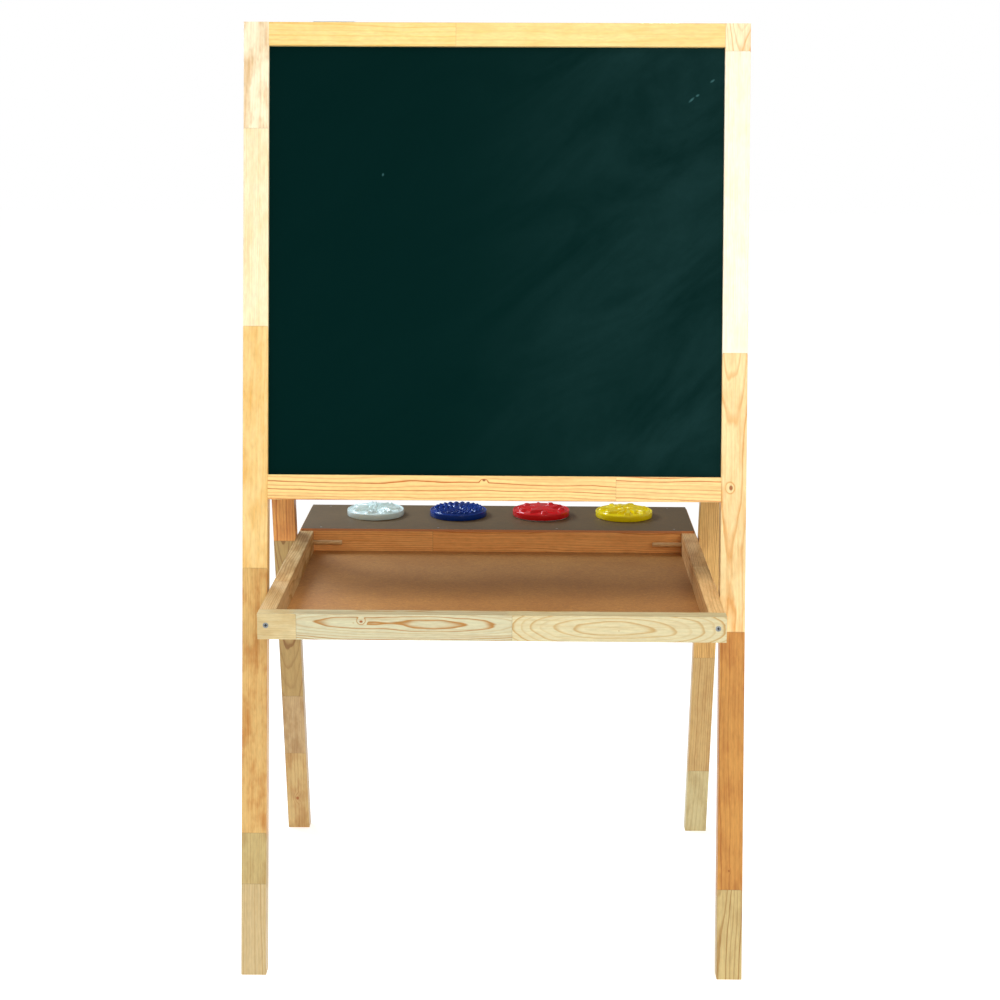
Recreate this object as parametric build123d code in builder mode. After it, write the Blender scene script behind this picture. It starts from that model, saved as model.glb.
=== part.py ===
"""Children's folding floor easel: two hinged pine frames with boards, and a tray with paint cups.

X runs left to right, Y from front to back and Z up, in millimetres.  The floor is Z = 0, and the
origin is on the floor under the middle of the tray, which is the deepest piece.  Each A-frame is
drawn in its own leaning plane: x across, y up the leg from the hinge pin, z out of the frame's face.
"""

import os
from math import cos, pi, radians, sin

from build123d import *

# ---------------------------------------------------------------- driving dimensions
WIDTH = 620.0                # over the legs
HINGE_HEIGHT = 1152.0        # hinge pin above the floor
LEAN = 11.0                  # each frame leans this many degrees from upright
LEG_WIDTH = 31.0             # leg's face, seen from the front
LEG_DEPTH = 21.0             # leg and frame rail, front to back
EDGE = 0.8                   # sanded round on long edges
TOP_RAIL = 28.7              # height of a frame's top rail
BOARD_VIEW = 525.4           # height of the board seen between the rails
BOTTOM_RAIL = 30.8           # height of a frame's bottom rail
FOLD_GAP = 1.5               # between the two frames when folded flat

BOARD_THICKNESS = 4.0
BOARD_SETBACK = 6.0          # board's face behind the frame's face
GROOVE_DEPTH = 6.0
GROOVE_PLAY = 0.1            # each side of the board in its groove

TRAY_LENGTH = 571.8          # front face to back end
HINGE_BEFORE_MIDDLE = 21.3   # hinge line in front of the tray's middle
TRAY_WIDTH = 552.7
TRAY_TOP = 471.0
TRAY_RAIL = 31.5             # height of the tray's rails
TRAY_WALL = 20.0             # thickness of the tray's rails
SHELF_DEPTH = 151.9
SHELF_WIDTH = 548.2
SHEET = 3.0                  # hardboard of the tray's floor and the cup shelf
REBATE = 8.0                 # floor let into the rails' lower edges
SHEET_PLAY = 0.3

CUP_PITCH = 119.2
CUP_ROW_SHIFT = 2.0          # row of cups off the tray's centre line
CUP_FROM_END = 62.3          # row's centre line from the tray's back end
CUP_HOLE = 37.0              # radius of the shelf's holes
CUP_RIM = 39.0
CUP_MOUTH = 36.2
CUP_BASE = 31.0
CUP_DROP = 62.0              # cup below the shelf's top
CUP_WALL = 1.7
LID_RADIUS = 40.8
LID_HEIGHT = 7.6
LID_WALL = 1.3
MOTIF_HEIGHT = 3.2
LID_SEAT = 0.5               # lid's edge above the shelf when pressed home
RED_LID_SEAT = 1.5           # the red lid sits a little high and shows its cup's rim

BOLT = 3.0                   # radius of the tray's pivot bolts
BOLT_HEAD = 6.5
BOLT_HEAD_DEPTH = 3.5
HEAD_POCKET = 4.0            # counterbore for the bolt's head
RUNNING = 0.05               # radial clearance of the pivot and the pegs
INSERT = 4.5                 # radius of the threaded insert
INSERT_LENGTH = 13.0
WASHER = 7.0
WASHER_THICKNESS = 2.2

PEG = 3.2                    # radius
PEG_LENGTH = 60.0
PEG_DROP = 14.7              # peg's axis under the tray's top
PEG_INSET = 0.5              # drawn-in peg's tip inside the rail's outer face
PEG_SOCKET = 22.0            # depth of its hole in the rear leg

DOWEL = 3.0
DOWEL_LENGTH = 40.0
DOWEL_PLAY = 0.03
DOWEL_EDGE = 7.5             # first dowel from the rail's plain edge
DOWEL_PITCH = 10.5

HINGE_X = 200.0
HINGE_LENGTH = 50.0
LEAF_REACH = 19.0            # leaf from the pin to its far edge
LEAF = 1.2
KNUCKLE = 2.5                # radius, and so the pin's height over the frames
HINGE_PIN = 1.2
KNUCKLE_SPLIT = 9.0          # half the middle knuckle
KNUCKLE_GAP = 0.3
LEAF_SCREW_PITCH = 17.0
LEAF_SCREW_REACH = 11.5

# A fastener is (head radius, shank radius, head depth, length).
LEAF_SCREW = (2.3, 1.2, 1.1, 14.0)
TRAY_SCREW = (3.4, 2.0, 2.6, 45.0)
NAIL = (1.5, 0.7, 0.5, 15.0)
NAIL_INSET = 10.0
FASTENER_PLAY = 0.03

# ---------------------------------------------------------------- derived dimensions
HINGE_Y = -HINGE_BEFORE_MIDDLE
LEG_X = (WIDTH - LEG_WIDTH) / 2
INSIDE_X = WIDTH / 2 - LEG_WIDTH          # legs' inner faces
MID_Z = (FOLD_GAP + LEG_DEPTH) / 2        # middle of a frame's depth, from the pin
FACE_Z = FOLD_GAP / 2 + LEG_DEPTH
BOARD_Z = FACE_Z - BOARD_SETBACK - BOARD_THICKNESS / 2
TOP_Y = -KNUCKLE                          # frame's top end
BOARD_TOP_Y = TOP_Y - TOP_RAIL
BOARD_END_Y = BOARD_TOP_Y - BOARD_VIEW
RAIL_END_Y = BOARD_END_Y - BOTTOM_RAIL
BOARD_MID_Y = (BOARD_TOP_Y + BOARD_END_Y) / 2

LEAN_SIN = sin(radians(LEAN))
LEAN_COS = cos(radians(LEAN))
HINGE_LINE = (0, HINGE_Y, HINGE_HEIGHT)
FRAMES = {
    "front": Plane(HINGE_LINE, x_dir=(1, 0, 0), z_dir=(0, -LEAN_COS, LEAN_SIN)),
    "rear": Plane(HINGE_LINE, x_dir=(-1, 0, 0), z_dir=(0, LEAN_COS, LEAN_SIN)),
}
SIDES = {"left": -1, "right": 1}

TRAY_X = TRAY_WIDTH / 2
WALL_X = TRAY_X - TRAY_WALL               # side rails' inner faces
WALL_MID_X = TRAY_X - TRAY_WALL / 2
TRAY_FRONT_Y = -TRAY_LENGTH / 2
TRAY_END_Y = TRAY_LENGTH / 2
WELL_FRONT_Y = TRAY_FRONT_Y + TRAY_WALL
WELL_BACK_Y = TRAY_END_Y - SHELF_DEPTH
RAIL_Z = TRAY_TOP - TRAY_RAIL / 2
FLOOR_Z = TRAY_TOP - TRAY_RAIL + SHEET    # top of the tray's floor
SHELF_Z = TRAY_TOP + SHEET
SHELF_MID_Y = (WELL_BACK_Y + TRAY_END_Y) / 2
CUP_Y = TRAY_END_Y - CUP_FROM_END


def leg_centre(frame, height):
    """Y of the middle of a frame's legs at a height over the floor."""
    along = (height - HINGE_HEIGHT - MID_Z * LEAN_SIN) / LEAN_COS
    return FRAMES[frame].from_local_coords((0, along, MID_Z)).Y


PIVOT = (leg_centre("front", RAIL_Z), RAIL_Z)
PEG_HOLE = (leg_centre("rear", TRAY_TOP - PEG_DROP), TRAY_TOP - PEG_DROP)

CUPS = {
    colour: CUP_ROW_SHIFT + (place - 1.5) * CUP_PITCH
    for place, colour in enumerate(("white", "blue", "red", "yellow"))
}


# ---------------------------------------------------------------- helpers
def bars_along_x(points, x_from, x_to, radius, mode=Mode.ADD):
    """Round bars, or bores, along X through the given (y, z) points."""
    with BuildSketch(Plane.YZ.offset(x_from)) as ends:
        with Locations(*points):
            Circle(radius)
    extrude(ends.sketch, amount=x_to - x_from, mode=mode)


def fasteners(places, size, play=0.0, mode=Mode.ADD):
    """Countersunk screws or nails, or their holes, each driven along its place's -Z."""
    head, shank, sink, length = size
    with Locations(*places):
        with Locations((0, 0, -sink / 2)):
            Cone(shank + play, head + play, sink, mode=mode)
        with Locations((0, 0, -(length + play) / 2)):
            Cylinder(shank + play, length + play, mode=mode)


def cross_recess(places, width, depth):
    """Cross-shaped driver recess in each head."""
    with Locations(*places):
        Box(width, width / 4, 2 * depth, mode=Mode.SUBTRACT)
        Box(width / 4, width, 2 * depth, mode=Mode.SUBTRACT)


def save(builder, name):
    builder.part.label = name
    export_step(builder.part, f"parts/{name}.step")


# ---------------------------------------------------------------- A-frames
def dowel_points(frame):
    """(y, z) of the dowels at one side of a frame: two in each rail, clear of the board's groove."""
    heights = (
        TOP_Y - DOWEL_EDGE,
        TOP_Y - DOWEL_EDGE - DOWEL_PITCH,
        RAIL_END_Y + DOWEL_EDGE,
        RAIL_END_Y + DOWEL_EDGE + DOWEL_PITCH,
    )
    places = [FRAMES[frame].from_local_coords((0, height, MID_Z)) for height in heights]
    return [(place.Y, place.Z) for place in places]


def dowel_bores(frame):
    for side in (-1, 1):
        reach = DOWEL_LENGTH / 2 + 1
        bars_along_x(
            dowel_points(frame), side * (INSIDE_X - reach), side * (INSIDE_X + reach),
            DOWEL + DOWEL_PLAY, Mode.SUBTRACT,
        )


def board_groove(frame):
    """The groove that holds the board, cut round the whole opening at once."""
    width = BOARD_THICKNESS + 2 * GROOVE_PLAY
    with BuildSketch(FRAMES[frame].offset(BOARD_Z - width / 2)) as opening:
        with Locations((0, BOARD_MID_Y)):
            Rectangle(2 * (INSIDE_X + GROOVE_DEPTH), BOARD_VIEW + 2 * GROOVE_DEPTH)
    extrude(opening.sketch, amount=width, mode=Mode.SUBTRACT)


def make_leg(frame, side):
    """A leg with an edge-rounded section, cut level at the floor."""
    sign = SIDES[side]
    plane = FRAMES[frame]
    top = plane.from_local_coords((sign * plane.x_dir.X * LEG_X, TOP_Y, MID_Z))
    with BuildPart() as leg:
        with BuildSketch(Plane(top, x_dir=(1, 0, 0), z_dir=-plane.y_dir)):
            RectangleRounded(LEG_WIDTH, LEG_DEPTH, EDGE)
        extrude(amount=HINGE_HEIGHT / LEAN_COS + LEG_DEPTH)
        split(bisect_by=Plane.XY, keep=Keep.TOP)
        board_groove(frame)
        dowel_bores(frame)
        if frame == "front":
            bars_along_x([PIVOT], 0, sign * WIDTH, BOLT + RUNNING, Mode.SUBTRACT)
            pocket_x = sign * (WIDTH / 2 - HEAD_POCKET)
            bars_along_x([PIVOT], pocket_x, sign * WIDTH, BOLT_HEAD + 0.2, Mode.SUBTRACT)
        else:
            socket_x = sign * (INSIDE_X + PEG_SOCKET)
            bars_along_x([PEG_HOLE], 0, socket_x, PEG + RUNNING, Mode.SUBTRACT)
    save(leg, f"{frame}_{side}_leg")


def make_frame_rail(frame, name, y_from, y_to):
    """A cross rail between the legs, grooved for the board."""
    plane = FRAMES[frame]
    middle = plane.from_local_coords((0, (y_from + y_to) / 2, MID_Z))
    end = Plane(middle, x_dir=plane.z_dir, z_dir=(1, 0, 0))
    with BuildPart() as rail:
        with BuildSketch(end):
            RectangleRounded(LEG_DEPTH, y_from - y_to, EDGE)
        extrude(amount=INSIDE_X, both=True)
        board_groove(frame)
        dowel_bores(frame)
        if name == "top":
            fasteners(leaf_screw_places(frame), LEAF_SCREW, FASTENER_PLAY, Mode.SUBTRACT)
    save(rail, f"{frame}_{name}_rail")


def make_board(frame, name):
    margin = 2 * (GROOVE_DEPTH - SHEET_PLAY)
    with BuildPart() as board:
        with BuildSketch(FRAMES[frame].offset(BOARD_Z - BOARD_THICKNESS / 2)):
            with Locations((0, BOARD_MID_Y)):
                Rectangle(2 * INSIDE_X + margin, BOARD_VIEW + margin)
        extrude(amount=BOARD_THICKNESS)
    save(board, name)


def make_frame_dowels(frame):
    """Eight glued dowels, two at each rail end."""
    half = DOWEL_LENGTH / 2
    with BuildPart() as dowels:
        for side in (-1, 1):
            x_from = side * (INSIDE_X - half)
            bars_along_x(dowel_points(frame), x_from, side * (INSIDE_X + half), DOWEL)
    save(dowels, f"{frame}_frame_dowels")


# ---------------------------------------------------------------- hinges
def leaf_screw_places(frame):
    """Three screws through each leaf of the two hinges, square to the frame's top end."""
    plane = FRAMES[frame]
    spots = [
        (hinge + step * LEAF_SCREW_PITCH, TOP_Y + LEAF, LEAF_SCREW_REACH)
        for hinge in (-HINGE_X, HINGE_X)
        for step in (-1, 0, 1)
    ]
    return [Plane(plane.from_local_coords(spot), z_dir=plane.y_dir) for spot in spots]


def make_hinge_leaf(frame, side):
    """One stamped leaf lying on a frame's top end, with its knuckles rolled round the pin."""
    plane = FRAMES[frame]
    centre = SIDES[side] * plane.x_dir.X * HINGE_X
    half = HINGE_LENGTH / 2
    plate_y = KNUCKLE - LEAF / 2
    if frame == "front":
        spans = [(-half, -KNUCKLE_SPLIT), (KNUCKLE_SPLIT, half)]
    else:
        spans = [(KNUCKLE_GAP - KNUCKLE_SPLIT, KNUCKLE_SPLIT - KNUCKLE_GAP)]

    def across(x):
        """Sketch plane square to the pin, its y running down the frame."""
        return Plane(plane.from_local_coords((centre + x, 0, 0)), x_dir=plane.z_dir, z_dir=plane.x_dir)

    with BuildPart() as leaf:
        clear = KNUCKLE + 2 * KNUCKLE_GAP
        with BuildSketch(across(-half)):
            with Locations(((clear + LEAF_REACH) / 2, plate_y)):
                Rectangle(LEAF_REACH - clear, LEAF)
        extrude(amount=HINGE_LENGTH)
        for low, high in spans:
            with BuildSketch(across(low)):
                Circle(KNUCKLE)
                with Locations((clear / 2 + 0.1, plate_y)):
                    Rectangle(clear + 0.2, LEAF)
                Circle(HINGE_PIN + RUNNING, mode=Mode.SUBTRACT)
            extrude(amount=high - low)
        fasteners(leaf_screw_places(frame), LEAF_SCREW, FASTENER_PLAY, Mode.SUBTRACT)
    save(leaf, f"{side}_hinge_{frame}_leaf")


def make_hinge_pin(side):
    half = HINGE_LENGTH / 2
    centre = SIDES[side] * HINGE_X
    with BuildPart() as pin:
        bars_along_x([(HINGE_Y, HINGE_HEIGHT)], centre - half, centre + half, HINGE_PIN)
        for end, outward in ((centre - half, -1), (centre + half, 1)):
            bars_along_x([(HINGE_Y, HINGE_HEIGHT)], end, end + outward, KNUCKLE - 0.5)
    save(pin, f"{side}_hinge_pin")


def make_hinge_screws(frame):
    with BuildPart() as screws:
        fasteners(leaf_screw_places(frame), LEAF_SCREW)
        cross_recess(leaf_screw_places(frame), 2.6, 0.7)
    save(screws, f"{frame}_hinge_screws")


# ---------------------------------------------------------------- tray
def floor_rebate():
    """Step along the rails' lower inner edges that takes the tray's floor."""
    with Locations((0, (WELL_FRONT_Y + WELL_BACK_Y) / 2, FLOOR_Z - SHEET / 2)):
        Box(2 * (WALL_X + REBATE), WELL_BACK_Y - WELL_FRONT_Y + 2 * REBATE, SHEET, mode=Mode.SUBTRACT)


def front_screw_places():
    """Through the front rail into the side rails' ends."""
    spots = [(side * WALL_MID_X, TRAY_FRONT_Y, RAIL_Z + 1.5) for side in (-1, 1)]
    return [Plane(spot, x_dir=(1, 0, 0), z_dir=(0, -1, 0)) for spot in spots]


def side_screw_places():
    """Through the side rails into the ends of the two inner cross rails."""
    rails_y = (WELL_BACK_Y + TRAY_WALL / 2, TRAY_END_Y - TRAY_WALL / 2)
    return [
        Plane((side * TRAY_X, y, RAIL_Z), x_dir=(0, 1, 0), z_dir=(side, 0, 0))
        for side in (-1, 1)
        for y in rails_y
    ]


def shelf_nail_places():
    """Along the shelf's front and back edges."""
    rows = (WELL_BACK_Y + NAIL_INSET, TRAY_END_Y - NAIL_INSET)
    return [
        Plane((x, y, SHELF_Z), z_dir=(0, 0, 1))
        for x in (-247, -83, 83, 247)
        for y in rows
    ]


def floor_nail_places():
    """Up through the floor's margin into the side, front and back rails."""
    margin = REBATE / 2
    sides = [(side * (WALL_X + margin), y) for side in (-1, 1) for y in (-230, -60, 60)]
    ends = [(x, y) for x in (-120, 120) for y in (WELL_FRONT_Y - margin, WELL_BACK_Y + margin)]
    return [Plane((x, y, FLOOR_Z - SHEET), z_dir=(0, 0, -1)) for x, y in sides + ends]


def tray_rail_holes():
    """Every hole in the tray's rails; each rail keeps only those that meet it."""
    fasteners(front_screw_places(), TRAY_SCREW, FASTENER_PLAY, Mode.SUBTRACT)
    fasteners(side_screw_places(), TRAY_SCREW, FASTENER_PLAY, Mode.SUBTRACT)
    fasteners(shelf_nail_places(), NAIL, FASTENER_PLAY, Mode.SUBTRACT)
    fasteners(floor_nail_places(), NAIL, FASTENER_PLAY, Mode.SUBTRACT)


def make_tray_cross_rail(name, y_from, half_width):
    """A rail across the tray, from y_from one wall thickness back."""
    end = Plane((0, y_from + TRAY_WALL / 2, RAIL_Z), x_dir=(0, 1, 0), z_dir=(1, 0, 0))
    with BuildPart() as rail:
        with BuildSketch(end):
            RectangleRounded(TRAY_WALL, TRAY_RAIL, EDGE)
        extrude(amount=half_width, both=True)
        floor_rebate()
        tray_rail_holes()
    save(rail, name)


def make_tray_side_rail(side):
    sign = SIDES[side]
    end = Plane((sign * WALL_MID_X, WELL_FRONT_Y, RAIL_Z), x_dir=(1, 0, 0), z_dir=(0, 1, 0))
    with BuildPart() as rail:
        with BuildSketch(end):
            RectangleRounded(TRAY_WALL, TRAY_RAIL, EDGE)
        extrude(amount=TRAY_END_Y - WELL_FRONT_Y)
        floor_rebate()
        tray_rail_holes()
        insert_x = sign * (TRAY_X - INSERT_LENGTH - 1)
        bars_along_x([PIVOT], sign * TRAY_X, insert_x, INSERT + DOWEL_PLAY, Mode.SUBTRACT)
        bars_along_x([PEG_HOLE], 0, sign * WIDTH, PEG + RUNNING, Mode.SUBTRACT)
    save(rail, f"tray_{side}_rail")


def make_tray_floor():
    length = WELL_BACK_Y - WELL_FRONT_Y + 2 * REBATE - 2 * SHEET_PLAY
    with BuildPart() as floor:
        with Locations((0, (WELL_FRONT_Y + WELL_BACK_Y) / 2, FLOOR_Z - SHEET / 2)):
            Box(2 * (WALL_X + REBATE - SHEET_PLAY), length, SHEET)
        fasteners(floor_nail_places(), NAIL, FASTENER_PLAY, Mode.SUBTRACT)
    save(floor, "tray_floor")


def make_cup_shelf():
    """Hardboard shelf on top of the rails, with a hole for each cup."""
    with BuildPart() as shelf:
        with BuildSketch(Plane.XY.offset(TRAY_TOP)):
            with Locations((0, SHELF_MID_Y)):
                Rectangle(SHELF_WIDTH, SHELF_DEPTH)
            with Locations(*[(x, CUP_Y) for x in CUPS.values()]):
                Circle(CUP_HOLE, mode=Mode.SUBTRACT)
        extrude(amount=SHEET)
        fasteners(shelf_nail_places(), NAIL, FASTENER_PLAY, Mode.SUBTRACT)
    save(shelf, "cup_shelf")


def make_fastener_group(name, places, size):
    with BuildPart() as group:
        fasteners(places, size)
        if size is TRAY_SCREW:
            cross_recess(places, 3.6, 1.6)
    save(group, name)


def make_pivot_bolt(side):
    """Bolt that turns in the front leg and is screwed fast in the tray's side rail."""
    sign = SIDES[side]
    head_x = sign * (WIDTH / 2 - HEAD_POCKET + 0.3)
    with BuildPart() as bolt:
        bars_along_x([PIVOT], sign * (TRAY_X - INSERT_LENGTH), head_x, BOLT)
        bars_along_x([PIVOT], head_x, head_x + sign * BOLT_HEAD_DEPTH, BOLT_HEAD)
        face = Plane((head_x + sign * BOLT_HEAD_DEPTH, *PIVOT), x_dir=(0, 1, 0), z_dir=(sign, 0, 0))
        with BuildSketch(face):
            RegularPolygon(2.3, 6)
        extrude(amount=-2.5, mode=Mode.SUBTRACT)
    save(bolt, f"{side}_pivot_bolt")


def make_pivot_inserts():
    """Threaded inserts in the side rails' outer faces."""
    with BuildPart() as inserts:
        for side in (-1, 1):
            x_in = side * (TRAY_X - INSERT_LENGTH)
            bars_along_x([PIVOT], x_in, side * TRAY_X, INSERT)
            bars_along_x([PIVOT], x_in, side * TRAY_X, BOLT + DOWEL_PLAY, Mode.SUBTRACT)
    save(inserts, "pivot_inserts")


def make_pivot_washers():
    """Washers that keep the tray's sides off the legs."""
    with BuildPart() as washers:
        for side in (-1, 1):
            x_out = side * (TRAY_X + WASHER_THICKNESS)
            bars_along_x([PIVOT], side * TRAY_X, x_out, WASHER)
            bars_along_x([PIVOT], side * TRAY_X, x_out, BOLT + 0.3, Mode.SUBTRACT)
    save(washers, "pivot_washers")


def make_peg(side):
    """Loose dowel peg, drawn in, its tip just inside the side rail's outer face."""
    sign = SIDES[side]
    tip = TRAY_X - PEG_INSET
    with BuildPart() as peg:
        bars_along_x([PEG_HOLE], sign * (tip - PEG_LENGTH), sign * tip, PEG)
        chamfer(peg.edges().filter_by(GeomType.CIRCLE), 0.6)
    save(peg, f"{side}_peg")


# ---------------------------------------------------------------- cups and lids
def make_cup(colour):
    """Tapered moulded pot that hangs by its rim in the shelf."""
    x = CUPS[colour]
    base_z = SHELF_Z - CUP_DROP
    rim_z = SHELF_Z + 0.3
    with BuildPart() as cup:
        with BuildSketch(Plane((x, CUP_Y, 0), x_dir=(1, 0, 0), z_dir=(0, -1, 0))):
            with BuildLine():
                Polyline(
                    (0, base_z),
                    (CUP_BASE, base_z),
                    (CUP_MOUTH, rim_z),
                    (CUP_RIM, rim_z),
                    (CUP_RIM, rim_z + CUP_WALL),
                    (CUP_MOUTH - CUP_WALL, rim_z + CUP_WALL),
                    (CUP_BASE - CUP_WALL, base_z + CUP_WALL),
                    (0, base_z + CUP_WALL),
                    close=True,
                )
            make_face()
        revolve(axis=Axis((x, CUP_Y, 0), (0, 0, 1)))
        fillet(cup.edges().filter_by(GeomType.CIRCLE).sort_by(Axis.Z)[0], 1.2)
    save(cup, f"{colour}_cup")


def flower():
    Circle(6)
    with PolarLocations(15, 6):
        Circle(7.6)


def ripple():
    for radius in (30, 19):
        Circle(radius)
        Circle(radius - 4, mode=Mode.SUBTRACT)
    Circle(8)


def star():
    points = [
        (radius * sin(angle), radius * cos(angle))
        for k in range(5)
        for radius, angle in ((30, k * 2 * pi / 5), (13, (k + 0.5) * 2 * pi / 5))
    ]
    Polygon(*points, align=None)


def sun():
    Circle(12)
    with PolarLocations(23, 8):
        SlotOverall(13, 5)


MOTIFS = {"white": flower, "blue": ripple, "red": star, "yellow": sun}


def make_lid(colour):
    """Snap lid over the cup's rim, with a plug ring inside and a raised motif on top."""
    x = CUPS[colour]
    low_z = SHELF_Z + (RED_LID_SEAT if colour == "red" else LID_SEAT)
    top_z = low_z + LID_HEIGHT
    plug = CUP_MOUTH - CUP_WALL - 0.4
    with BuildPart() as lid:
        with BuildSketch(Plane((x, CUP_Y, 0), x_dir=(1, 0, 0), z_dir=(0, -1, 0))):
            with BuildLine():
                Polyline(
                    (LID_RADIUS, low_z),
                    (LID_RADIUS, top_z),
                    (0, top_z),
                    (0, top_z - CUP_WALL),
                    (plug - LID_WALL, top_z - CUP_WALL),
                    (plug - LID_WALL, low_z + 1),
                    (plug, low_z + 1),
                    (plug, top_z - CUP_WALL),
                    (LID_RADIUS - LID_WALL, top_z - CUP_WALL),
                    (LID_RADIUS - LID_WALL, low_z),
                    close=True,
                )
            make_face()
        revolve(axis=Axis((x, CUP_Y, 0), (0, 0, 1)))
        fillet(lid.edges().filter_by(GeomType.CIRCLE).sort_by(Axis.Z)[-1], 1.2)
        with BuildSketch(Plane((x, CUP_Y, top_z))) as motif:
            MOTIFS[colour]()
        extrude(amount=MOTIF_HEIGHT)
    save(lid, f"{colour}_lid")


# ---------------------------------------------------------------- build
os.makedirs("parts", exist_ok=True)

for frame_name, board_name in (("front", "chalkboard"), ("rear", "drawing_board")):
    for side_name in SIDES:
        make_leg(frame_name, side_name)
        make_hinge_leaf(frame_name, side_name)
    make_frame_rail(frame_name, "top", TOP_Y, BOARD_TOP_Y)
    make_frame_rail(frame_name, "bottom", BOARD_END_Y, RAIL_END_Y)
    make_board(frame_name, board_name)
    make_frame_dowels(frame_name)
    make_hinge_screws(frame_name)

make_tray_cross_rail("tray_front_rail", TRAY_FRONT_Y, TRAY_X)
make_tray_cross_rail("tray_middle_rail", WELL_BACK_Y, WALL_X)
make_tray_cross_rail("tray_end_rail", TRAY_END_Y - TRAY_WALL, WALL_X)
make_tray_floor()
make_cup_shelf()
make_fastener_group("tray_front_screws", front_screw_places(), TRAY_SCREW)
make_fastener_group("tray_side_screws", side_screw_places(), TRAY_SCREW)
make_fastener_group("shelf_nails", shelf_nail_places(), NAIL)
make_fastener_group("floor_nails", floor_nail_places(), NAIL)
make_pivot_inserts()
make_pivot_washers()

for side_name in SIDES:
    make_hinge_pin(side_name)
    make_tray_side_rail(side_name)
    make_pivot_bolt(side_name)
    make_peg(side_name)

for colour_name in CUPS:
    make_cup(colour_name)
    make_lid(colour_name)

print("tray pivot", PIVOT, "peg hole", PEG_HOLE, "cups", CUPS)
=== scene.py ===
# %% [markdown]
# A children's folding floor easel: two pine frames hinged at the top, a chalkboard in the front one,
# a shallow tray between the legs, and a hardboard shelf with four lidded paint cups.  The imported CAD
# model is the fixed frame: its nodes keep their shape and place, and are given their finish by name.

# %% Load the frame
import math

import bpy
import numpy as np
from mathutils import Matrix, Vector


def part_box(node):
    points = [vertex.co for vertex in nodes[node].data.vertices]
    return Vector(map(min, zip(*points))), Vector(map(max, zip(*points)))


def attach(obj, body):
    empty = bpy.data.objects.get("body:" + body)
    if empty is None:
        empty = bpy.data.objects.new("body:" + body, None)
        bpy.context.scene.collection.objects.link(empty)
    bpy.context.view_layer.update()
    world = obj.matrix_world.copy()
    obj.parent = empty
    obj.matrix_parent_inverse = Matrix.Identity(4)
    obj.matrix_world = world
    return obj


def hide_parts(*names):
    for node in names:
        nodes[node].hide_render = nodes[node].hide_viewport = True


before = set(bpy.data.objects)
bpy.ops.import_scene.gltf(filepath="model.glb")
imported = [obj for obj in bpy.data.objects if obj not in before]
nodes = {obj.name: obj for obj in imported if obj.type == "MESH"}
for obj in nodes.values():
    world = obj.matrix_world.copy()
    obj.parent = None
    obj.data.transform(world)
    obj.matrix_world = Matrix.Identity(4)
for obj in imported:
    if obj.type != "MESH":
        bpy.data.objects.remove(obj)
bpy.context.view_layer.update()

# %% [markdown]
# Before anything is shaped, a few small tools.  Colours are written as the sRGB hex values a paint
# shop would quote and turned to linear light by one function.  Another adds any shader node.  Scenes
# are in metres, but wood and moulding are thought of in millimetres, so patterns are scaled by MM.

# %% Colour
def linear(code, alpha=1.0):
    """Linear RGBA of an sRGB hex colour: each channel has the sRGB curve undone."""
    share = np.array([int(code[i:i + 2], 16) for i in (1, 3, 5)]) / 255.0
    low = share / 12.92
    high = ((share + 0.055) / 1.055) ** 2.4
    return (*np.where(share <= 0.04045, low, high).tolist(), alpha)


print("pine heartwood in linear light", [round(c, 3) for c in linear("#d9a95c")])


# %% Shader nodes
def plug(tree, made, inputs):
    """Gives each input of a node, named or numbered, its value or a link to another node's output."""
    for key, value in inputs.items():
        if isinstance(value, bpy.types.NodeSocket):
            tree.links.new(value, made.inputs[key])
        else:
            made.inputs[key].default_value = value


def node(tree, kind, inputs=None, **settings):
    """Adds one node with its settings, and plugs in its inputs."""
    made = tree.nodes.new(kind)
    for key, value in settings.items():
        setattr(made, key, value)
    plug(tree, made, inputs or {})
    return made


def material(name):
    """A new material with only its Principled shader and output."""
    made = bpy.data.materials.new(name)
    made.use_nodes = True
    return made, made.node_tree, made.node_tree.nodes["Principled BSDF"]


def finish_nodes(names, made):
    """Gives carried-over CAD nodes their material."""
    for name in names:
        nodes[name].data.materials.clear()
        nodes[name].data.materials.append(made)


# %% Sizes from the frame
MM = 1000.0
pin_low, pin_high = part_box("left_hinge_pin")
hinge = (pin_low + pin_high) / 2
LEAN_DEGREES = 11.0  # of each frame, from upright
lean = math.radians(LEAN_DEGREES)
print("hinge", [round(v * MM, 1) for v in hinge], "mm, lean", LEAN_DEGREES, "degrees")

# %% [markdown]
# The camera stands 2.4 m in front of the easel, a little below its top, and looks slightly down
# with a normal lens, so the legs narrow a little towards the floor.

# %% Camera
SENSOR_WIDTH = 36.0
FOCAL_LENGTH = 66.96
CAMERA_PLACE = (0.0379, -2.3881, 1.078)
PITCH_YAW_ROLL = (12.55, -0.78, 0.22)

camera = bpy.data.objects.new("camera", bpy.data.cameras.new("camera"))
bpy.context.scene.collection.objects.link(camera)
bpy.context.scene.camera = camera
camera.data.sensor_width = SENSOR_WIDTH
camera.data.lens = FOCAL_LENGTH
pitch, yaw, roll = (math.radians(degrees) for degrees in PITCH_YAW_ROLL)
forward = Vector(
    (math.sin(yaw) * math.cos(pitch), math.cos(yaw) * math.cos(pitch), -math.sin(pitch))
)
level = Vector((math.cos(yaw), -math.sin(yaw), 0.0))
upright = level.cross(forward)
right = math.cos(roll) * level + math.sin(roll) * upright
above = math.cos(roll) * upright - math.sin(roll) * level
facing = Matrix((right, above, -forward)).transposed().to_4x4()
camera.matrix_world = Matrix.Translation(CAMERA_PLACE) @ facing
print("camera lens", round(camera.data.lens, 2), "mm")

# %% [markdown]
# Studio light: a large softbox in front, a weak one from the left, a small cool one behind that gives
# the lids their glints, and one over the tray.  A softbox is an area light, whose size sets how soft
# the shadows are.  The one over the tray has a grid, which keeps its beam narrow.

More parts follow.
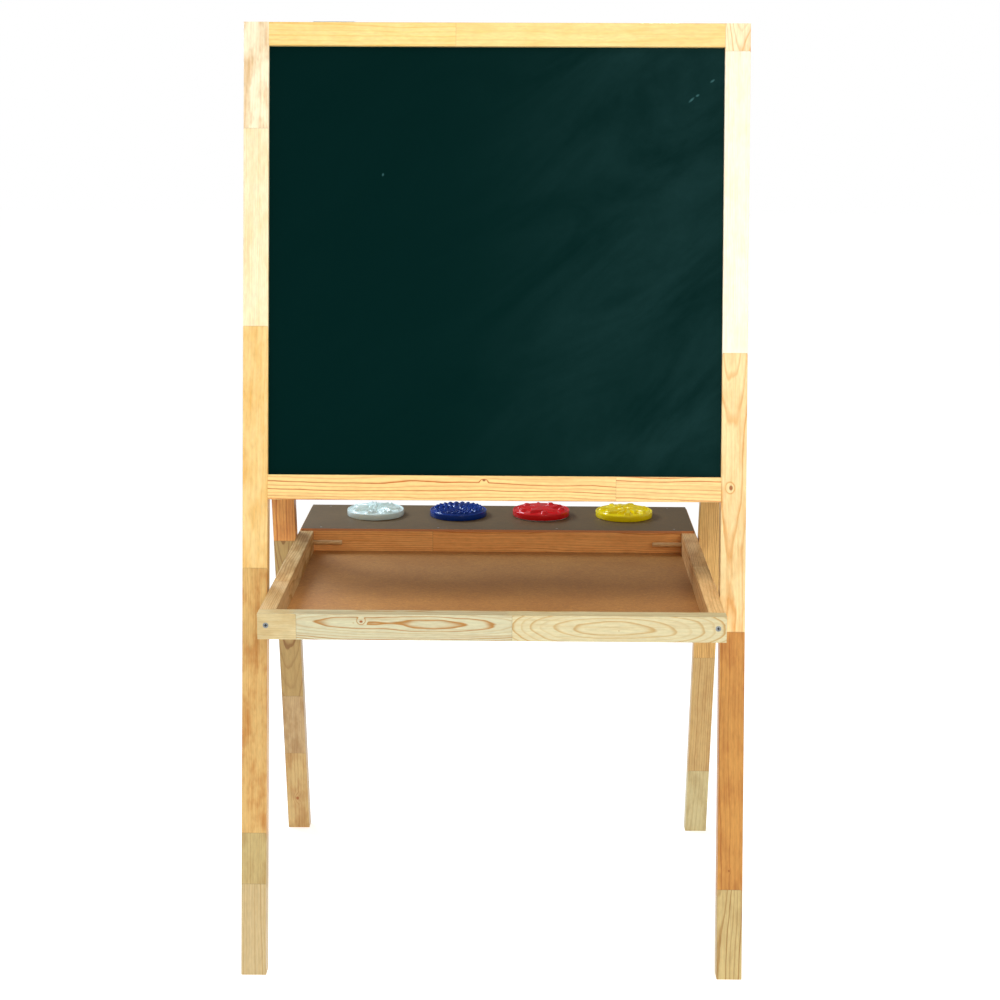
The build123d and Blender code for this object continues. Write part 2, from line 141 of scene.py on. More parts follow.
# %% Softboxes
WARM, COOL = "#fff6e6", "#d8ecff"


def softbox(name, place, aim, size, power, colour, beam=180.0):
    """Square area light with sides of size metres at place, facing aim, with a beam in degrees."""
    lamp = bpy.data.lights.new(name, "AREA")
    lamp.shape = "SQUARE"
    lamp.size = size
    lamp.energy = power
    lamp.color = linear(colour)[:3]
    lamp.spread = math.radians(beam)
    made = bpy.data.objects.new(name, lamp)
    bpy.context.scene.collection.objects.link(made)
    made.location = place
    made.rotation_mode = "QUATERNION"
    made.rotation_quaternion = (Vector(aim) - Vector(place)).to_track_quat("-Z", "Y")


softbox("key_softbox", (0.8, -2.9, 1.8), (0.0, 0.0, 0.65), 1.4, 34.0, WARM)
softbox("side_softbox", (-2.6, -1.2, 1.9), (0.0, 0.0, 0.7), 1.4, 6.0, WARM)
softbox("rear_softbox", (-0.9, 0.75, 1.3), (-0.1, 0.15, 0.5), 0.5, 14.0, COOL)
softbox("gridded_tray_softbox", (0.0, -0.75, 1.75), (0.0, -0.3, 0.47), 0.7, 1.4, WARM, 64.0)
print("softboxes:", len(bpy.data.lights))

# %% [markdown]
# All round is a white room, which is the world's colour.  The camera sees it at full strength.  It
# gives less fill light than that, and less again in reflections, as if black flags kept it out of
# them, so that plastic and wood keep their colour at a low angle.

# %% White room
ROOM_SEEN, ROOM_FILL, ROOM_REFLECTED = 1.0, 0.48, 0.2

world = bpy.data.worlds.new("white_room")
bpy.context.scene.world = world
world.use_nodes = True
room = world.node_tree.nodes["Background"]
path = node(world.node_tree, "ShaderNodeLightPath").outputs
unseen = node(
    world.node_tree,
    "ShaderNodeMapRange",
    {"Value": path["Is Glossy Ray"], "To Min": ROOM_FILL, "To Max": ROOM_REFLECTED},
).outputs[0]
strength = node(
    world.node_tree,
    "ShaderNodeMapRange",
    {"Value": path["Is Camera Ray"], "To Min": unseen, "To Max": ROOM_SEEN},
).outputs[0]
plug(world.node_tree, room, {"Color": linear("#ffffff"), "Strength": strength})
bpy.context.scene.view_settings.view_transform = "Standard"
print("room:", ROOM_SEEN, "seen,", ROOM_FILL, "as fill,", ROOM_REFLECTED, "in reflections")

# %% [markdown]
# The floor is translucent white paper with some light under it, as on a product table, so that it
# stays white right to the horizon and keeps only faint shadows.

# %% Paper floor
HALF_FLOOR = 14.0
PAPER_WHITE = 0.8
PAPER_GLOW = 0.62

floor = bpy.data.meshes.new("floor")
corners = HALF_FLOOR * np.array([(-1, -1, 0), (1, -1, 0), (1, 1, 0), (-1, 1, 0)])
floor.from_pydata(corners.tolist(), [], [(0, 1, 2, 3)])
floor_object = bpy.data.objects.new("floor", floor)
bpy.context.scene.collection.objects.link(floor_object)
paper, tree, shader = material("backlit_white_paper_floor")
plug(tree, shader, {
    "Base Color": (PAPER_WHITE, PAPER_WHITE, PAPER_WHITE, 1.0),
    "Roughness": 1.0,
    "Specular IOR Level": 0.0,
    "Emission Color": linear("#ffffff"),
    "Emission Strength": PAPER_GLOW,
})
floor.materials.append(paper)
print("paper floor", 2 * HALF_FLOOR, "m wide")

# %% [markdown]
# Pine is the easel's main material.  A piece of pine is cut from a trunk, so its figure isn't painted
# on the faces: it is the trunk's growth rings, seen where the saw went through them.  The material
# works the same way.  It measures how far each point is from the trunk's pith, and turns that radius
# into rings: a slow darkening through the summer, then a sharp edge.  A block cut beside the pith
# shows straight lines, one cut across the rings shows arches, and where the trunk bulges they close
# into ovals.  The same rule draws the end grain for nothing.  One node group does this for every
# piece, and each of the next cells adds one part of it.

# %% Sockets of the ring group
def ring_sockets():
    """The empty group, and the outputs of its input node."""
    tree = bpy.data.node_groups.new("pine_growth_rings", "ShaderNodeTree")
    for kind, names in (
        ("Vector", ("Position", "Knot A", "Knot B")),
        ("Color", ("Cut", "Early", "Late")),
        ("Float", ("Bow", "Middle", "Spacing", "Cloudy", "Clear", "Seam")),
    ):
        for name in names:
            tree.interface.new_socket(name, in_out="INPUT", socket_type="NodeSocket" + kind)
    for name, kind in (("Color", "Color"), ("Height", "Float"), ("Roughness", "Float")):
        tree.interface.new_socket(name, in_out="OUTPUT", socket_type="NodeSocket" + kind)
    return tree, node(tree, "NodeGroupInput").outputs


print("a ring group has one input for each thing that sets a block's figure")


# %% Distance from the pith
PITH_REACH = 80.0
TILT_REACH = 0.2
BOW_REACH = 0.004


def pith_distance(tree, given):
    """Distance of a point from the pith of its tree, in millimetres.

    Position is in millimetres: x along the grain, y across the face, z out of the face.
    Distance = length of (y - pith across, z - pith depth - tilt * u - bow * u * u), with u the
    distance along the grain from the block's middle.
    """
    point = node(tree, "ShaderNodeSeparateXYZ", {0: given["Position"]}).outputs
    u = node(
        tree, "ShaderNodeMath", {0: point["X"], 1: given["Middle"]}, operation="SUBTRACT"
    ).outputs[0]
    cut = node(tree, "ShaderNodeSeparateColor", {0: given["Cut"]}).outputs
    # Each is stored as a share, from 0 for minus its reach to 1 for plus its reach.
    across, depth, tilt, bow = (
        node(
            tree, "ShaderNodeMapRange", {"Value": stored, "To Min": -reach, "To Max": reach}
        ).outputs[0]
        for stored, reach in (
            (cut[0], PITH_REACH),
            (cut[1], PITH_REACH),
            (cut[2], TILT_REACH),
            (given["Bow"], BOW_REACH),
        )
    )
    rise = node(
        tree, "ShaderNodeMath", {0: bow, 1: u, 2: tilt}, operation="MULTIPLY_ADD"
    ).outputs[0]
    rise = node(
        tree, "ShaderNodeMath", {0: rise, 1: u, 2: depth}, operation="MULTIPLY_ADD"
    ).outputs[0]
    y = node(tree, "ShaderNodeMath", {0: point["Y"], 1: across}, operation="SUBTRACT").outputs[0]
    z = node(tree, "ShaderNodeMath", {0: point["Z"], 1: rise}, operation="SUBTRACT").outputs[0]
    section = node(tree, "ShaderNodeCombineXYZ", {"Y": y, "Z": z}).outputs[0]
    return node(tree, "ShaderNodeVectorMath", {0: section}, operation="LENGTH").outputs["Value"]


print("the pith lies up to", PITH_REACH, "mm from a piece's middle")


# %% Wandering rings
WANDER = 5.0
WANDER_SIZE = (1 / 150, 1 / 34, 1 / 34)


def wandering(tree, moved, radius):
    """The radius, off by a noise of up to 5 mm: a trunk isn't a true cone."""
    at = node(
        tree, "ShaderNodeVectorMath", {0: moved, 1: WANDER_SIZE}, operation="MULTIPLY"
    ).outputs[0]
    wander = node(
        tree, "ShaderNodeTexNoise", {"Vector": at, "Scale": 1.0, "Detail": 3.5, "Roughness": 0.42}
    ).outputs[0]
    wander = node(
        tree, "ShaderNodeMapRange", {"Value": wander, "To Min": -WANDER, "To Max": WANDER}
    ).outputs[0]
    return node(tree, "ShaderNodeMath", {0: radius, 1: wander}, operation="ADD").outputs[0]


print("rings wander over", [round(1 / size) for size in WANDER_SIZE], "mm")


# %% Knots
KNOT_SQUEEZE = 0.75
SMALLEST_KNOT = 0.05


def with_knots(tree, given, radius):
    """The radius, swollen round each knot, and how much a point is in a knot's dark heart.

    A knot is a branch, given as (along the grain, across the face, radius of its heart).
    Swelling = 1.6 hearts at the knot, falling to none 4.5 hearts away.
    """
    point = node(tree, "ShaderNodeSeparateXYZ", {0: given["Position"]}).outputs
    heart = 0.0
    for name in ("Knot A", "Knot B"):
        knot = node(tree, "ShaderNodeSeparateXYZ", {0: given[name]}).outputs
        dx = node(
            tree, "ShaderNodeMath", {0: point["X"], 1: knot["X"]}, operation="SUBTRACT"
        ).outputs[0]
        dy = node(
            tree, "ShaderNodeMath", {0: point["Y"], 1: knot["Y"]}, operation="SUBTRACT"
        ).outputs[0]
        # A branch leans, so its section is longer along the grain.
        dx = node(tree, "ShaderNodeMath", {0: dx, 1: KNOT_SQUEEZE}, operation="MULTIPLY").outputs[0]
        off = node(tree, "ShaderNodeCombineXYZ", {"X": dx, "Y": dy}).outputs[0]
        off = node(tree, "ShaderNodeVectorMath", {0: off}, operation="LENGTH").outputs["Value"]
        size = node(
            tree, "ShaderNodeMath", {0: knot["Z"], 1: SMALLEST_KNOT}, operation="MAXIMUM"
        ).outputs[0]
        hearts = node(tree, "ShaderNodeMath", {0: off, 1: size}, operation="DIVIDE").outputs[0]
        fall = node(
            tree,
            "ShaderNodeMapRange",
            {"Value": hearts, "From Min": 0.5, "From Max": 4.5, "To Min": 1.6, "To Max": 0.0},
            interpolation_type="SMOOTHERSTEP",
        ).outputs[0]
        radius = node(
            tree, "ShaderNodeMath", {0: fall, 1: size, 2: radius}, operation="MULTIPLY_ADD"
        ).outputs[0]
        dark = node(
            tree,
            "ShaderNodeMapRange",
            {"Value": hearts, "From Min": 0.6, "From Max": 1.25, "To Min": 1.0, "To Max": 0.0},
            interpolation_type="SMOOTHSTEP",
        ).outputs[0]
        heart = node(tree, "ShaderNodeMath", {0: heart, 1: dark}, operation="MAXIMUM").outputs[0]
    return radius, heart


print("a knot's heart is", round(1 / KNOT_SQUEEZE, 2), "times as long as it is wide")


# %% Late wood
WEAKEST_YEAR = 0.26


def late_wood(tree, given, radius):
    """Share of dark late wood, 0 to 1.

    Ring = radius / spacing, and its fraction is the time of the year.  Share = smooth rise over
    0.3 to 0.88 of the ring, to the power 1 + 0.8 * spacing, times a sharp fall over its last
    tenth, times the year's vigour, times the block's clearness.
    """
    rings = node(
        tree, "ShaderNodeMath", {0: radius, 1: given["Spacing"]}, operation="DIVIDE"
    ).outputs[0]
    season = node(tree, "ShaderNodeMath", {0: rings}, operation="FRACT").outputs[0]
    year = node(tree, "ShaderNodeMath", {0: rings}, operation="FLOOR").outputs[0]
    year = node(tree, "ShaderNodeMath", {0: year, 1: given["Middle"]}, operation="ADD").outputs[0]
    # Years differ: most leave a faint line and some a strong one.
    vigour = node(tree, "ShaderNodeTexWhiteNoise", {"W": year}, noise_dimensions="1D").outputs[0]
    vigour = node(tree, "ShaderNodeMath", {0: vigour, 1: 1.2}, operation="POWER").outputs[0]
    vigour = node(
        tree, "ShaderNodeMapRange", {"Value": vigour, "To Min": WEAKEST_YEAR, "To Max": 1.0}
    ).outputs[0]
    summer = node(
        tree,
        "ShaderNodeMapRange",
        {"Value": season, "From Min": 0.3, "From Max": 0.88},
        interpolation_type="SMOOTHSTEP",
    ).outputs[0]
    # A wide ring has no more late wood than a narrow one, so its line takes a smaller share of it.
    sharp = node(
        tree, "ShaderNodeMath", {0: given["Spacing"], 1: 0.8, 2: 1.0}, operation="MULTIPLY_ADD"
    ).outputs[0]
    wood = node(tree, "ShaderNodeMath", {0: summer, 1: sharp}, operation="POWER").outputs[0]
    winter = node(
        tree,
        "ShaderNodeMapRange",
        {"Value": season, "From Min": 0.9, "From Max": 1.0, "To Min": 1.0, "To Max": 0.0},
    ).outputs[0]
    for factor in (winter, vigour, given["Clear"]):
        wood = node(tree, "ShaderNodeMath", {0: wood, 1: factor}, operation="MULTIPLY").outputs[0]
    return wood


print("the weakest year leaves", WEAKEST_YEAR, "of a full line")


# %% Fibres, bundles, resin and clouds
# Length, then width twice, in millimetres.  Real fibres are 0.03 mm wide and some millimetres long:
# they are drawn 0.8 mm wide so that they show.
GRAIN_SIZES = ((30, 0.8, 0.8), (11, 2.4, 2.4), (170, 4.5, 4.5), (42, 17, 17))


def grain_noises(tree, moved):
    """A noise from 0 to 1 for fibres, bundles of them, streaks of resin, and clouds."""
    noises = []
    for size in GRAIN_SIZES:
        at = node(
            tree,
            "ShaderNodeVectorMath",
            {0: moved, 1: [1 / side for side in size]},
            operation="MULTIPLY",
        ).outputs[0]
        noises.append(
            node(
                tree,
                "ShaderNodeTexNoise",
                {"Vector": at, "Scale": 1.0, "Detail": 3.0, "Roughness": 0.6},
            ).outputs[0]
        )
    return noises


print("grain sizes in mm", GRAIN_SIZES)


# %% How dark a point is
def darkness(tree, given, wood, streak, cloud):
    """0.62 * (late wood + the greater of late wood and resin) + the cloudy blocks' stain, 0 to 1."""
    resin = node(
        tree,
        "ShaderNodeMapRange",
        {"Value": streak, "From Min": 0.42, "From Max": 0.75, "To Max": 0.55},
        interpolation_type="SMOOTHSTEP",
    ).outputs[0]
    late = node(tree, "ShaderNodeMath", {0: resin, 1: wood}, operation="MAXIMUM").outputs[0]
    late = node(tree, "ShaderNodeMath", {0: late, 1: wood}, operation="ADD").outputs[0]
    stain = node(
        tree,
        "ShaderNodeMapRange",
        {"Value": cloud, "From Min": 0.38, "From Max": 0.68, "To Max": given["Cloudy"]},
        interpolation_type="SMOOTHSTEP",
    ).outputs[0]
    return node(
        tree,
        "ShaderNodeMath",
        {0: late, 1: 0.62, 2: stain},
        operation="MULTIPLY_ADD",
        use_clamp=True,
    ).outputs[0]


print("0 is the block's early colour and 1 its late colour")


# %% The ring group
BLOCK_SHIFT = 7.31
KNOT_HEART = "#9a5a26"


def growth_rings():
    """Group: colour, height and roughness of lacquered pine at a point of a block."""
    tree, given = ring_sockets()
    # Each block starts elsewhere in the noises, because it is another tree.
    own = node(
        tree, "ShaderNodeMath", {0: given["Middle"], 1: BLOCK_SHIFT}, operation="MULTIPLY"
    ).outputs[0]
    shift = node(tree, "ShaderNodeCombineXYZ", {"X": own, "Y": own}).outputs[0]
    moved = node(
        tree, "ShaderNodeVectorMath", {0: given["Position"], 1: shift}, operation="ADD"
    ).outputs[0]
    radius = wandering(tree, moved, pith_distance(tree, given))
    radius, heart = with_knots(tree, given, radius)
    wood = late_wood(tree, given, radius)
    fibre, bundle, streak, cloud = grain_noises(tree, moved)

    # Inputs 6 and 7 of a Mix node are its two colours, and output 2 the mixed one.
    late = darkness(tree, given, wood, streak, cloud)
    colour = node(
        tree, "ShaderNodeMix", {"Factor": late, 6: given["Early"], 7: given["Late"]},
        data_type="RGBA",
    ).outputs[2]
    light = node(
        tree, "ShaderNodeMath", {0: bundle, 1: 1.5, 2: fibre}, operation="MULTIPLY_ADD"
    ).outputs[0]
    light = node(
        tree,
        "ShaderNodeMapRange",
        {"Value": light, "From Min": 0.85, "From Max": 1.65, "To Min": 0.88, "To Max": 1.1},
    ).outputs[0]
    light = node(
        tree, "ShaderNodeMath", {0: light, 1: given["Seam"]}, operation="MULTIPLY"
    ).outputs[0]
    colour = node(
        tree, "ShaderNodeVectorMath", {0: colour, "Scale": light}, operation="SCALE"
    ).outputs[0]
    colour = node(
        tree, "ShaderNodeMix", {"Factor": heart, 6: colour, 7: linear(KNOT_HEART)},
        data_type="RGBA",
    ).outputs[2]

    height = node(
        tree, "ShaderNodeMath", {0: fibre, 1: 0.35, 2: wood}, operation="MULTIPLY_ADD"
    ).outputs[0]
    rough = node(
        tree, "ShaderNodeMapRange", {"Value": fibre, "To Min": 0.36, "To Max": 0.52}
    ).outputs[0]
    node(tree, "NodeGroupOutput", {"Color": colour, "Height": height, "Roughness": rough})
    return tree


rings_group = growth_rings()
print("growth rings:", len(rings_group.nodes), "nodes")

# %% [markdown]
# The maker saves timber by gluing short blocks end to end with finger joints, so one leg shows several
# trees.  Each block has its own colours and its own cut, and changes at a straight line on the broad
# face and at a zigzag on the edge, where the fingers show.  On the legs the blocks also grow paler
# towards the top: partly their trees, partly painted light, the light falling off down the legs.  Each
# wooden piece therefore has a list of blocks: how far the block reaches along the piece from its
# middle, in millimetres, and how its tree looks.

# %% One value for each block
SPACING_REACH = 20.0


def share(value, reach):
    """A value from -reach to reach as a share from 0 to 1."""
    return (value + reach) / (2 * reach)


def per_block(tree, number, values):
    """Outputs of a ramp that holds one colour for each block, picked by the block's number."""
    count = len(values)
    where = node(
        tree, "ShaderNodeMath", {0: number, 1: 1 / count, 2: 0.5 / count}, operation="MULTIPLY_ADD"
    ).outputs[0]
    made = node(tree, "ShaderNodeValToRGB", {0: where})
    ramp = made.color_ramp
    ramp.interpolation = "CONSTANT"
    ramp.elements.remove(ramp.elements[-1])
    for index, value in enumerate(values):
        element = ramp.elements[0] if index == 0 else ramp.elements.new(index / count)
        element.position = index / count
        element.color = value
    return made.outputs


print("pith at the middle is stored as", share(0.0, PITH_REACH))


# %% Finger joints
FINGER_LENGTH = 10.0
FINGER_PITCH = 3.8
GLUE_LINE = 0.45
GLUE_SHADE = 0.8


def finger_joints(tree, point, ends):
    """Number of the block at a point, and how light it is there: 0.8 in a glue line, or else 1.

    Fingers are a sawtooth on the place along the piece that starts at nothing on the broad face.
    A block's number is how many joints are passed, and a glue line is where a joint is near.
    """
    teeth = node(
        tree, "ShaderNodeMath", {0: point["Z"], 1: FINGER_PITCH / 2}, operation="PINGPONG"
    ).outputs[0]
    x = node(
        tree,
        "ShaderNodeMath",
        {0: teeth, 1: FINGER_LENGTH * 2 / FINGER_PITCH, 2: point["X"]},
        operation="MULTIPLY_ADD",
    ).outputs[0]
    number, glue = 0.0, 0.0
    for end in ends[:-1]:
        passed = node(tree, "ShaderNodeMath", {0: x, 1: end}, operation="GREATER_THAN").outputs[0]
        near = node(
            tree, "ShaderNodeMath", {0: x, 1: end, 2: GLUE_LINE}, operation="COMPARE"
        ).outputs[0]
        number = node(tree, "ShaderNodeMath", {0: number, 1: passed}, operation="ADD").outputs[0]
        glue = node(tree, "ShaderNodeMath", {0: glue, 1: near}, operation="ADD").outputs[0]
    seam = node(
        tree, "ShaderNodeMapRange", {"Value": glue, "To Min": 1.0, "To Max": GLUE_SHADE}
    ).outputs[0]
    return number, seam


print("fingers", FINGER_LENGTH, "mm long,", FINGER_PITCH, "mm apart")


# %% Middle of a piece
LEG_MIDDLE = 0.5896  # half a leg's length down from the hinge
LEG_PLANE = 0.01125  # half a leg's depth and half the folding gap, off the hinge's plane


def middle_of(name, along, out):
    """Middle of a piece: its box's, but a leg's foot is cut level, so a leg's is measured."""
    low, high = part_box(name)
    centre = (low + high) / 2
    if not name.endswith("_leg"):
        return centre
    off = math.copysign(LEG_PLANE, centre.y - hinge.y)
    top = Vector((centre.x, hinge.y, hinge.z))
    return top - LEG_MIDDLE * Vector(along) - off * Vector(out)


print("a leg's middle is", LEG_MIDDLE * MM, "mm below the hinge")


# %% Finger-jointed pine
NO_KNOT = (9000.0, 0.0, 0.1)  # far off any piece


def pine(name, along, out, half, depth, blocks, knots=()):
    """Clear-lacquered pine for one piece, whose look comes from its blocks' growth rings.

    The piece reaches half its length each way from its middle, and half its depth behind its broad
    face.  A block is (reach, early colour, late colour, pith across, pith depth, tilt, bow, spacing,
    cloudiness, clearness of the rings).
    """
    made, tree, shader = material("lacquered_finger_jointed_pine_" + name)
    rows = Matrix((along, Vector(out).cross(Vector(along)), out))
    place = node(
        tree,
        "ShaderNodeMapping",
        {
            "Vector": node(tree, "ShaderNodeTexCoord").outputs["Object"],
            "Scale": (MM, MM, MM),
            "Rotation": rows.to_euler(),
            "Location": rows @ middle_of(name, along, out) * -MM - Vector((0, 0, depth / 2)),
        },
    ).outputs[0]
    point = node(tree, "ShaderNodeSeparateXYZ", {0: place}).outputs
    ends = [block[0] for block in blocks]
    number, seam = finger_joints(tree, point, ends)

    reaches = (PITH_REACH, PITH_REACH, TILT_REACH, BOW_REACH)
    cut, bow = per_block(
        tree, number, [[share(v, r) for v, r in zip(b[3:7], reaches)] for b in blocks]
    )
    middles = [(a + b) / 2 for a, b in zip([-half] + ends[:-1], ends)]
    size, clear = per_block(
        tree,
        number,
        [(share(m, half), b[7] / SPACING_REACH, b[8], b[9]) for m, b in zip(middles, blocks)],
    )
    parts = node(tree, "ShaderNodeSeparateColor", {0: size}).outputs
    knot_a, knot_b = (list(knots) + [NO_KNOT] * 2)[:2]
    rings = node(
        tree,
        "ShaderNodeGroup",
        {
            "Position": place,
            "Cut": cut,
            "Bow": bow,
            "Middle": node(
                tree, "ShaderNodeMapRange", {"Value": parts[0], "To Min": -half, "To Max": half}
            ).outputs[0],
            "Spacing": node(
                tree, "ShaderNodeMath", {0: parts[1], 1: SPACING_REACH}, operation="MULTIPLY"
            ).outputs[0],
            "Cloudy": parts[2],
            "Clear": clear,
            "Early": per_block(tree, number, [linear(b[1]) for b in blocks])[0],
            "Late": per_block(tree, number, [linear(b[2]) for b in blocks])[0],
            "Knot A": knot_a,
            "Knot B": knot_b,
            "Seam": seam,
        },
        node_tree=rings_group,
    ).outputs
    bump = node(
        tree, "ShaderNodeBump", {"Height": rings["Height"], "Strength": 0.25, "Distance": 0.0003}
    ).outputs[0]
    # The lacquer is thin and satin, so only a weak coat shows.
    plug(tree, shader, {
        "Base Color": rings["Color"],
        "Roughness": rings["Roughness"],
        "Normal": bump,
        "Specular IOR Level": 0.35,
        "Coat Weight": 0.08,
        "Coat Roughness": 0.22,
    })
    finish_nodes([name], made)


print("a block has ten values")

# %% [markdown]
# The directions below are those of the real saw cuts: along the grain, and out of the piece's broad
# face.  The legs lean, so their grain leans with them.  The four cuts are where the pith lies, across
# the face and in depth, for a sheet of straight lines, one edge, an arch and a crown.

# %% Directions of the grain
s, c = math.sin(lean), math.cos(lean)
FRONT_LEG = ((0, s, c), (0, -c, s))
REAR_LEG = ((0, -s, c), (0, -c, -s))
FRONT_RAIL = ((1, 0, 0), (0, -c, s))
REAR_RAIL = ((1, 0, 0), (0, -c, -s))
CROSS_RAIL = ((1, 0, 0), (0, -1, 0))
SIDE_RAIL = ((0, 1, 0), (0, 0, 1))
STRAIGHT, EDGED, ARCHED, CROWNED = (58, 2), (34, -26), (3, -30), (-6, -16)

# %% Front frame
# Painted light: from foot to top the blocks grow paler, partly because the light falls off down the
# legs.
pine("front_left_leg", *FRONT_LEG, 587.0, 21.0, [
    (-474.8, "#c7b387", "#af8d54", -40, -14, 0.012, 0.0, 3.4, 0.1, 0.9),
    (-411.2, "#c2ae78", "#a3824b", *EDGED, 0.03, 0.0, 2.6, 0.5, 0.5),
    (-82.6, "#d8b472", "#b87c38", *STRAIGHT, 0.012, 0.0, 2.7, 0.7, 0.35),
    (215.3, "#efcf8e", "#e0ae5c", 12, -26, 0.03, 0.0001, 4.2, 0.5, 0.35),
    (457.5, "#f9ecca", "#ecca8e", *STRAIGHT, 0.008, 0.0, 2.3, 0.4, 0.6),
    (587.0, "#fdf4d6", "#dcb684", *EDGED, 0.05, 0.0, 3.0, 0.7, 0.25),
])
pine("front_right_leg", *FRONT_LEG, 587.0, 21.0, [
    (-476.6, "#cbb780", "#986e34", 16, -16, 0.05, 0.0006, 4.2, 0.2, 0.9),
    (-157.2, "#ca9349", "#9a5619", -30, -22, 0.022, 0.00003, 4.4, 0.35, 0.6),
    (185.5, "#eed8a2", "#d89e56", *ARCHED, 0.03, 0.0001, 3.6, 0.3, 0.7),
    (553.4, "#fff8e4", "#f3dfb6", *STRAIGHT, 0.01, 0.0, 1.9, 0.3, 0.6),
    (587.0, "#fff0ca", "#e2a65c", *CROWNED, 0.16, 0.0015, 3.4, 0.3, 1.0),
], [(20.1, 3.4, 2.4), (-453.0, 1.2, 1.2)])
pine("front_top_rail", *FRONT_RAIL, 282.0, 21.0, [
    (-50.0, "#f9da92", "#f1c46c", *EDGED, 0.012, 0.0, 5.0, 0.3, 0.8),
    (282.0, "#f8d890", "#eebf6a", 18, -30, -0.01, 0.0, 5.6, 0.3, 0.9),
])
pine("front_bottom_rail", *FRONT_RAIL, 282.0, 21.0, [
    (150.0, "#f5d38e", "#c2660f", 26, -24, 0.012, 0.00004, 3.5, 0.0, 1.0),
    (282.0, "#f5d390", "#c46a14", *EDGED, 0.02, 0.0, 3.6, 0.0, 1.0),
], [(-12.4, 10.0, 1.5)])
print("front frame: 4 pieces of pine")

# %% [markdown]
# The rear frame is built like the front one, from the same stack of timber.

# %% Rear frame
# Painted light: from foot to top the blocks grow paler, partly because the light falls off down the
# legs.
pine("rear_left_leg", *REAR_LEG, 587.0, 21.0, [
    (-456.0, "#c6a86e", "#a37239", *EDGED, 0.03, 0.0, 3.4, 0.5, 0.5),
    (-361.0, "#c0a476", "#987140", *STRAIGHT, 0.02, 0.0, 3.0, 0.6, 0.5),
    (-114.8, "#b5985e", "#8d6634", 2, -18, 0.1, 0.0, 3.6, 0.1, 1.0),
    (260.0, "#e6a455", "#b05e1e", *EDGED, 0.012, 0.0, 3.4, 0.3, 1.0),
    (587.0, "#f3d9a0", "#d5a562", *ARCHED, 0.03, 0.0, 3.6, 0.2, 0.9),
], [(-533.1, 0.0, 2.2)])
pine("rear_right_leg", *REAR_LEG, 587.0, 21.0, [
    (-480.5, "#cabc8b", "#a78d58", *EDGED, 0.02, 0.0, 4.4, 0.4, 0.4),
    (-293.5, "#cbac71", "#a87c44", 34, -12, 0.03, 0.0006, 3.0, 0.3, 0.8),
    (180.0, "#dbb26b", "#a77434", *STRAIGHT, 0.012, 0.0, 2.6, 0.2, 0.9),
    (587.0, "#f1d49a", "#cf9a58", *EDGED, 0.02, 0.0, 3.4, 0.2, 0.8),
])
pine("rear_top_rail", *REAR_RAIL, 282.0, 21.0, [
    (90.0, "#f6dca0", "#dfae66", *ARCHED, 0.02, 0.0, 4.4, 0.3, 0.9),
    (282.0, "#f9e4b2", "#e8c184", *STRAIGHT, 0.01, 0.0, 2.2, 0.3, 0.7),
])
pine("rear_bottom_rail", *REAR_RAIL, 282.0, 21.0, [
    (-120.0, "#f2d596", "#d79f58", *EDGED, 0.02, 0.0, 3.8, 0.2, 0.9),
    (282.0, "#f7dea4", "#e2ad66", *ARCHED, 0.015, 0.0, 5.0, 0.2, 1.0),
])
print("rear frame: 4 pieces of pine")

# %% [markdown]
# The tray's rails stand on edge.  The front one is the palest timber on the easel, sawn so near to the
# tree's skin that its rings close into long loops.

# %% Tray rails
pine("tray_front_rail", *CROSS_RAIL, 276.35, 20.0, [
    (-230.4, "#cfbf92", "#b59459", *STRAIGHT, 0.03, 0.0, 2.4, 0.4, 0.4),
    (24.0, "#c8c5a5", "#aa7a3b", 4, -15, 0.006, -0.0003, 1.8, 0.0, 1.0),
    (276.35, "#d0c8a2", "#b8914f", 1, -11, 0.0, -0.0011, 2.9, 0.1, 0.8),
], [(-153.7, 7.0, 1.6), (149.7, -2.0, 0.5)])
pine("tray_middle_rail", *CROSS_RAIL, 256.35, 20.0, [
    (-90.0, "#ffc076", "#d6823a", *EDGED, 0.006, 0.0, 2.4, 0.2, 0.9),
    (256.35, "#ffbc70", "#d27c34", 30, -26, 0.008, 0.00002, 2.8, 0.2, 0.9),
])
pine("tray_end_rail", *CROSS_RAIL, 256.35, 20.0, [
    (40.0, "#ecd3a0", "#cc9c5a", *ARCHED, 0.02, 0.0002, 3.6, 0.2, 0.9),
    (256.35, "#e6c68d", "#c08d4c", *EDGED, 0.02, 0.0, 3.0, 0.2, 0.9),
])
pine("tray_left_rail", *SIDE_RAIL, 265.9, 31.5, [
    (-150.0, "#d6b988", "#b6884b", *STRAIGHT, 0.015, 0.0, 2.4, 0.3, 0.8),
    (120.0, "#e1c28a", "#b18241", *EDGED, 0.02, 0.0, 3.0, 0.6, 0.8),
    (265.9, "#ecc084", "#be8444", *STRAIGHT, 0.02, 0.0, 2.4, 0.5, 0.8),
])
pine("tray_right_rail", *SIDE_RAIL, 265.9, 31.5, [
    (-60.0, "#f4ce94", "#ca9048", *EDGED, 0.02, 0.0, 3.0, 0.3, 0.8),
    (265.9, "#ecc084", "#bc8044", *STRAIGHT, 0.012, 0.0, 2.4, 0.5, 0.8),
])
print("tray: 5 rails")

# %% [markdown]
# The tray's floor and the cup shelf are hardboard: wood fibres pressed hot into a hard brown sheet.
# Its face is smooth and slightly shiny, with short fibres of every brown lying every way, which three
# sizes of noise give.  Its sawn edges are redder.

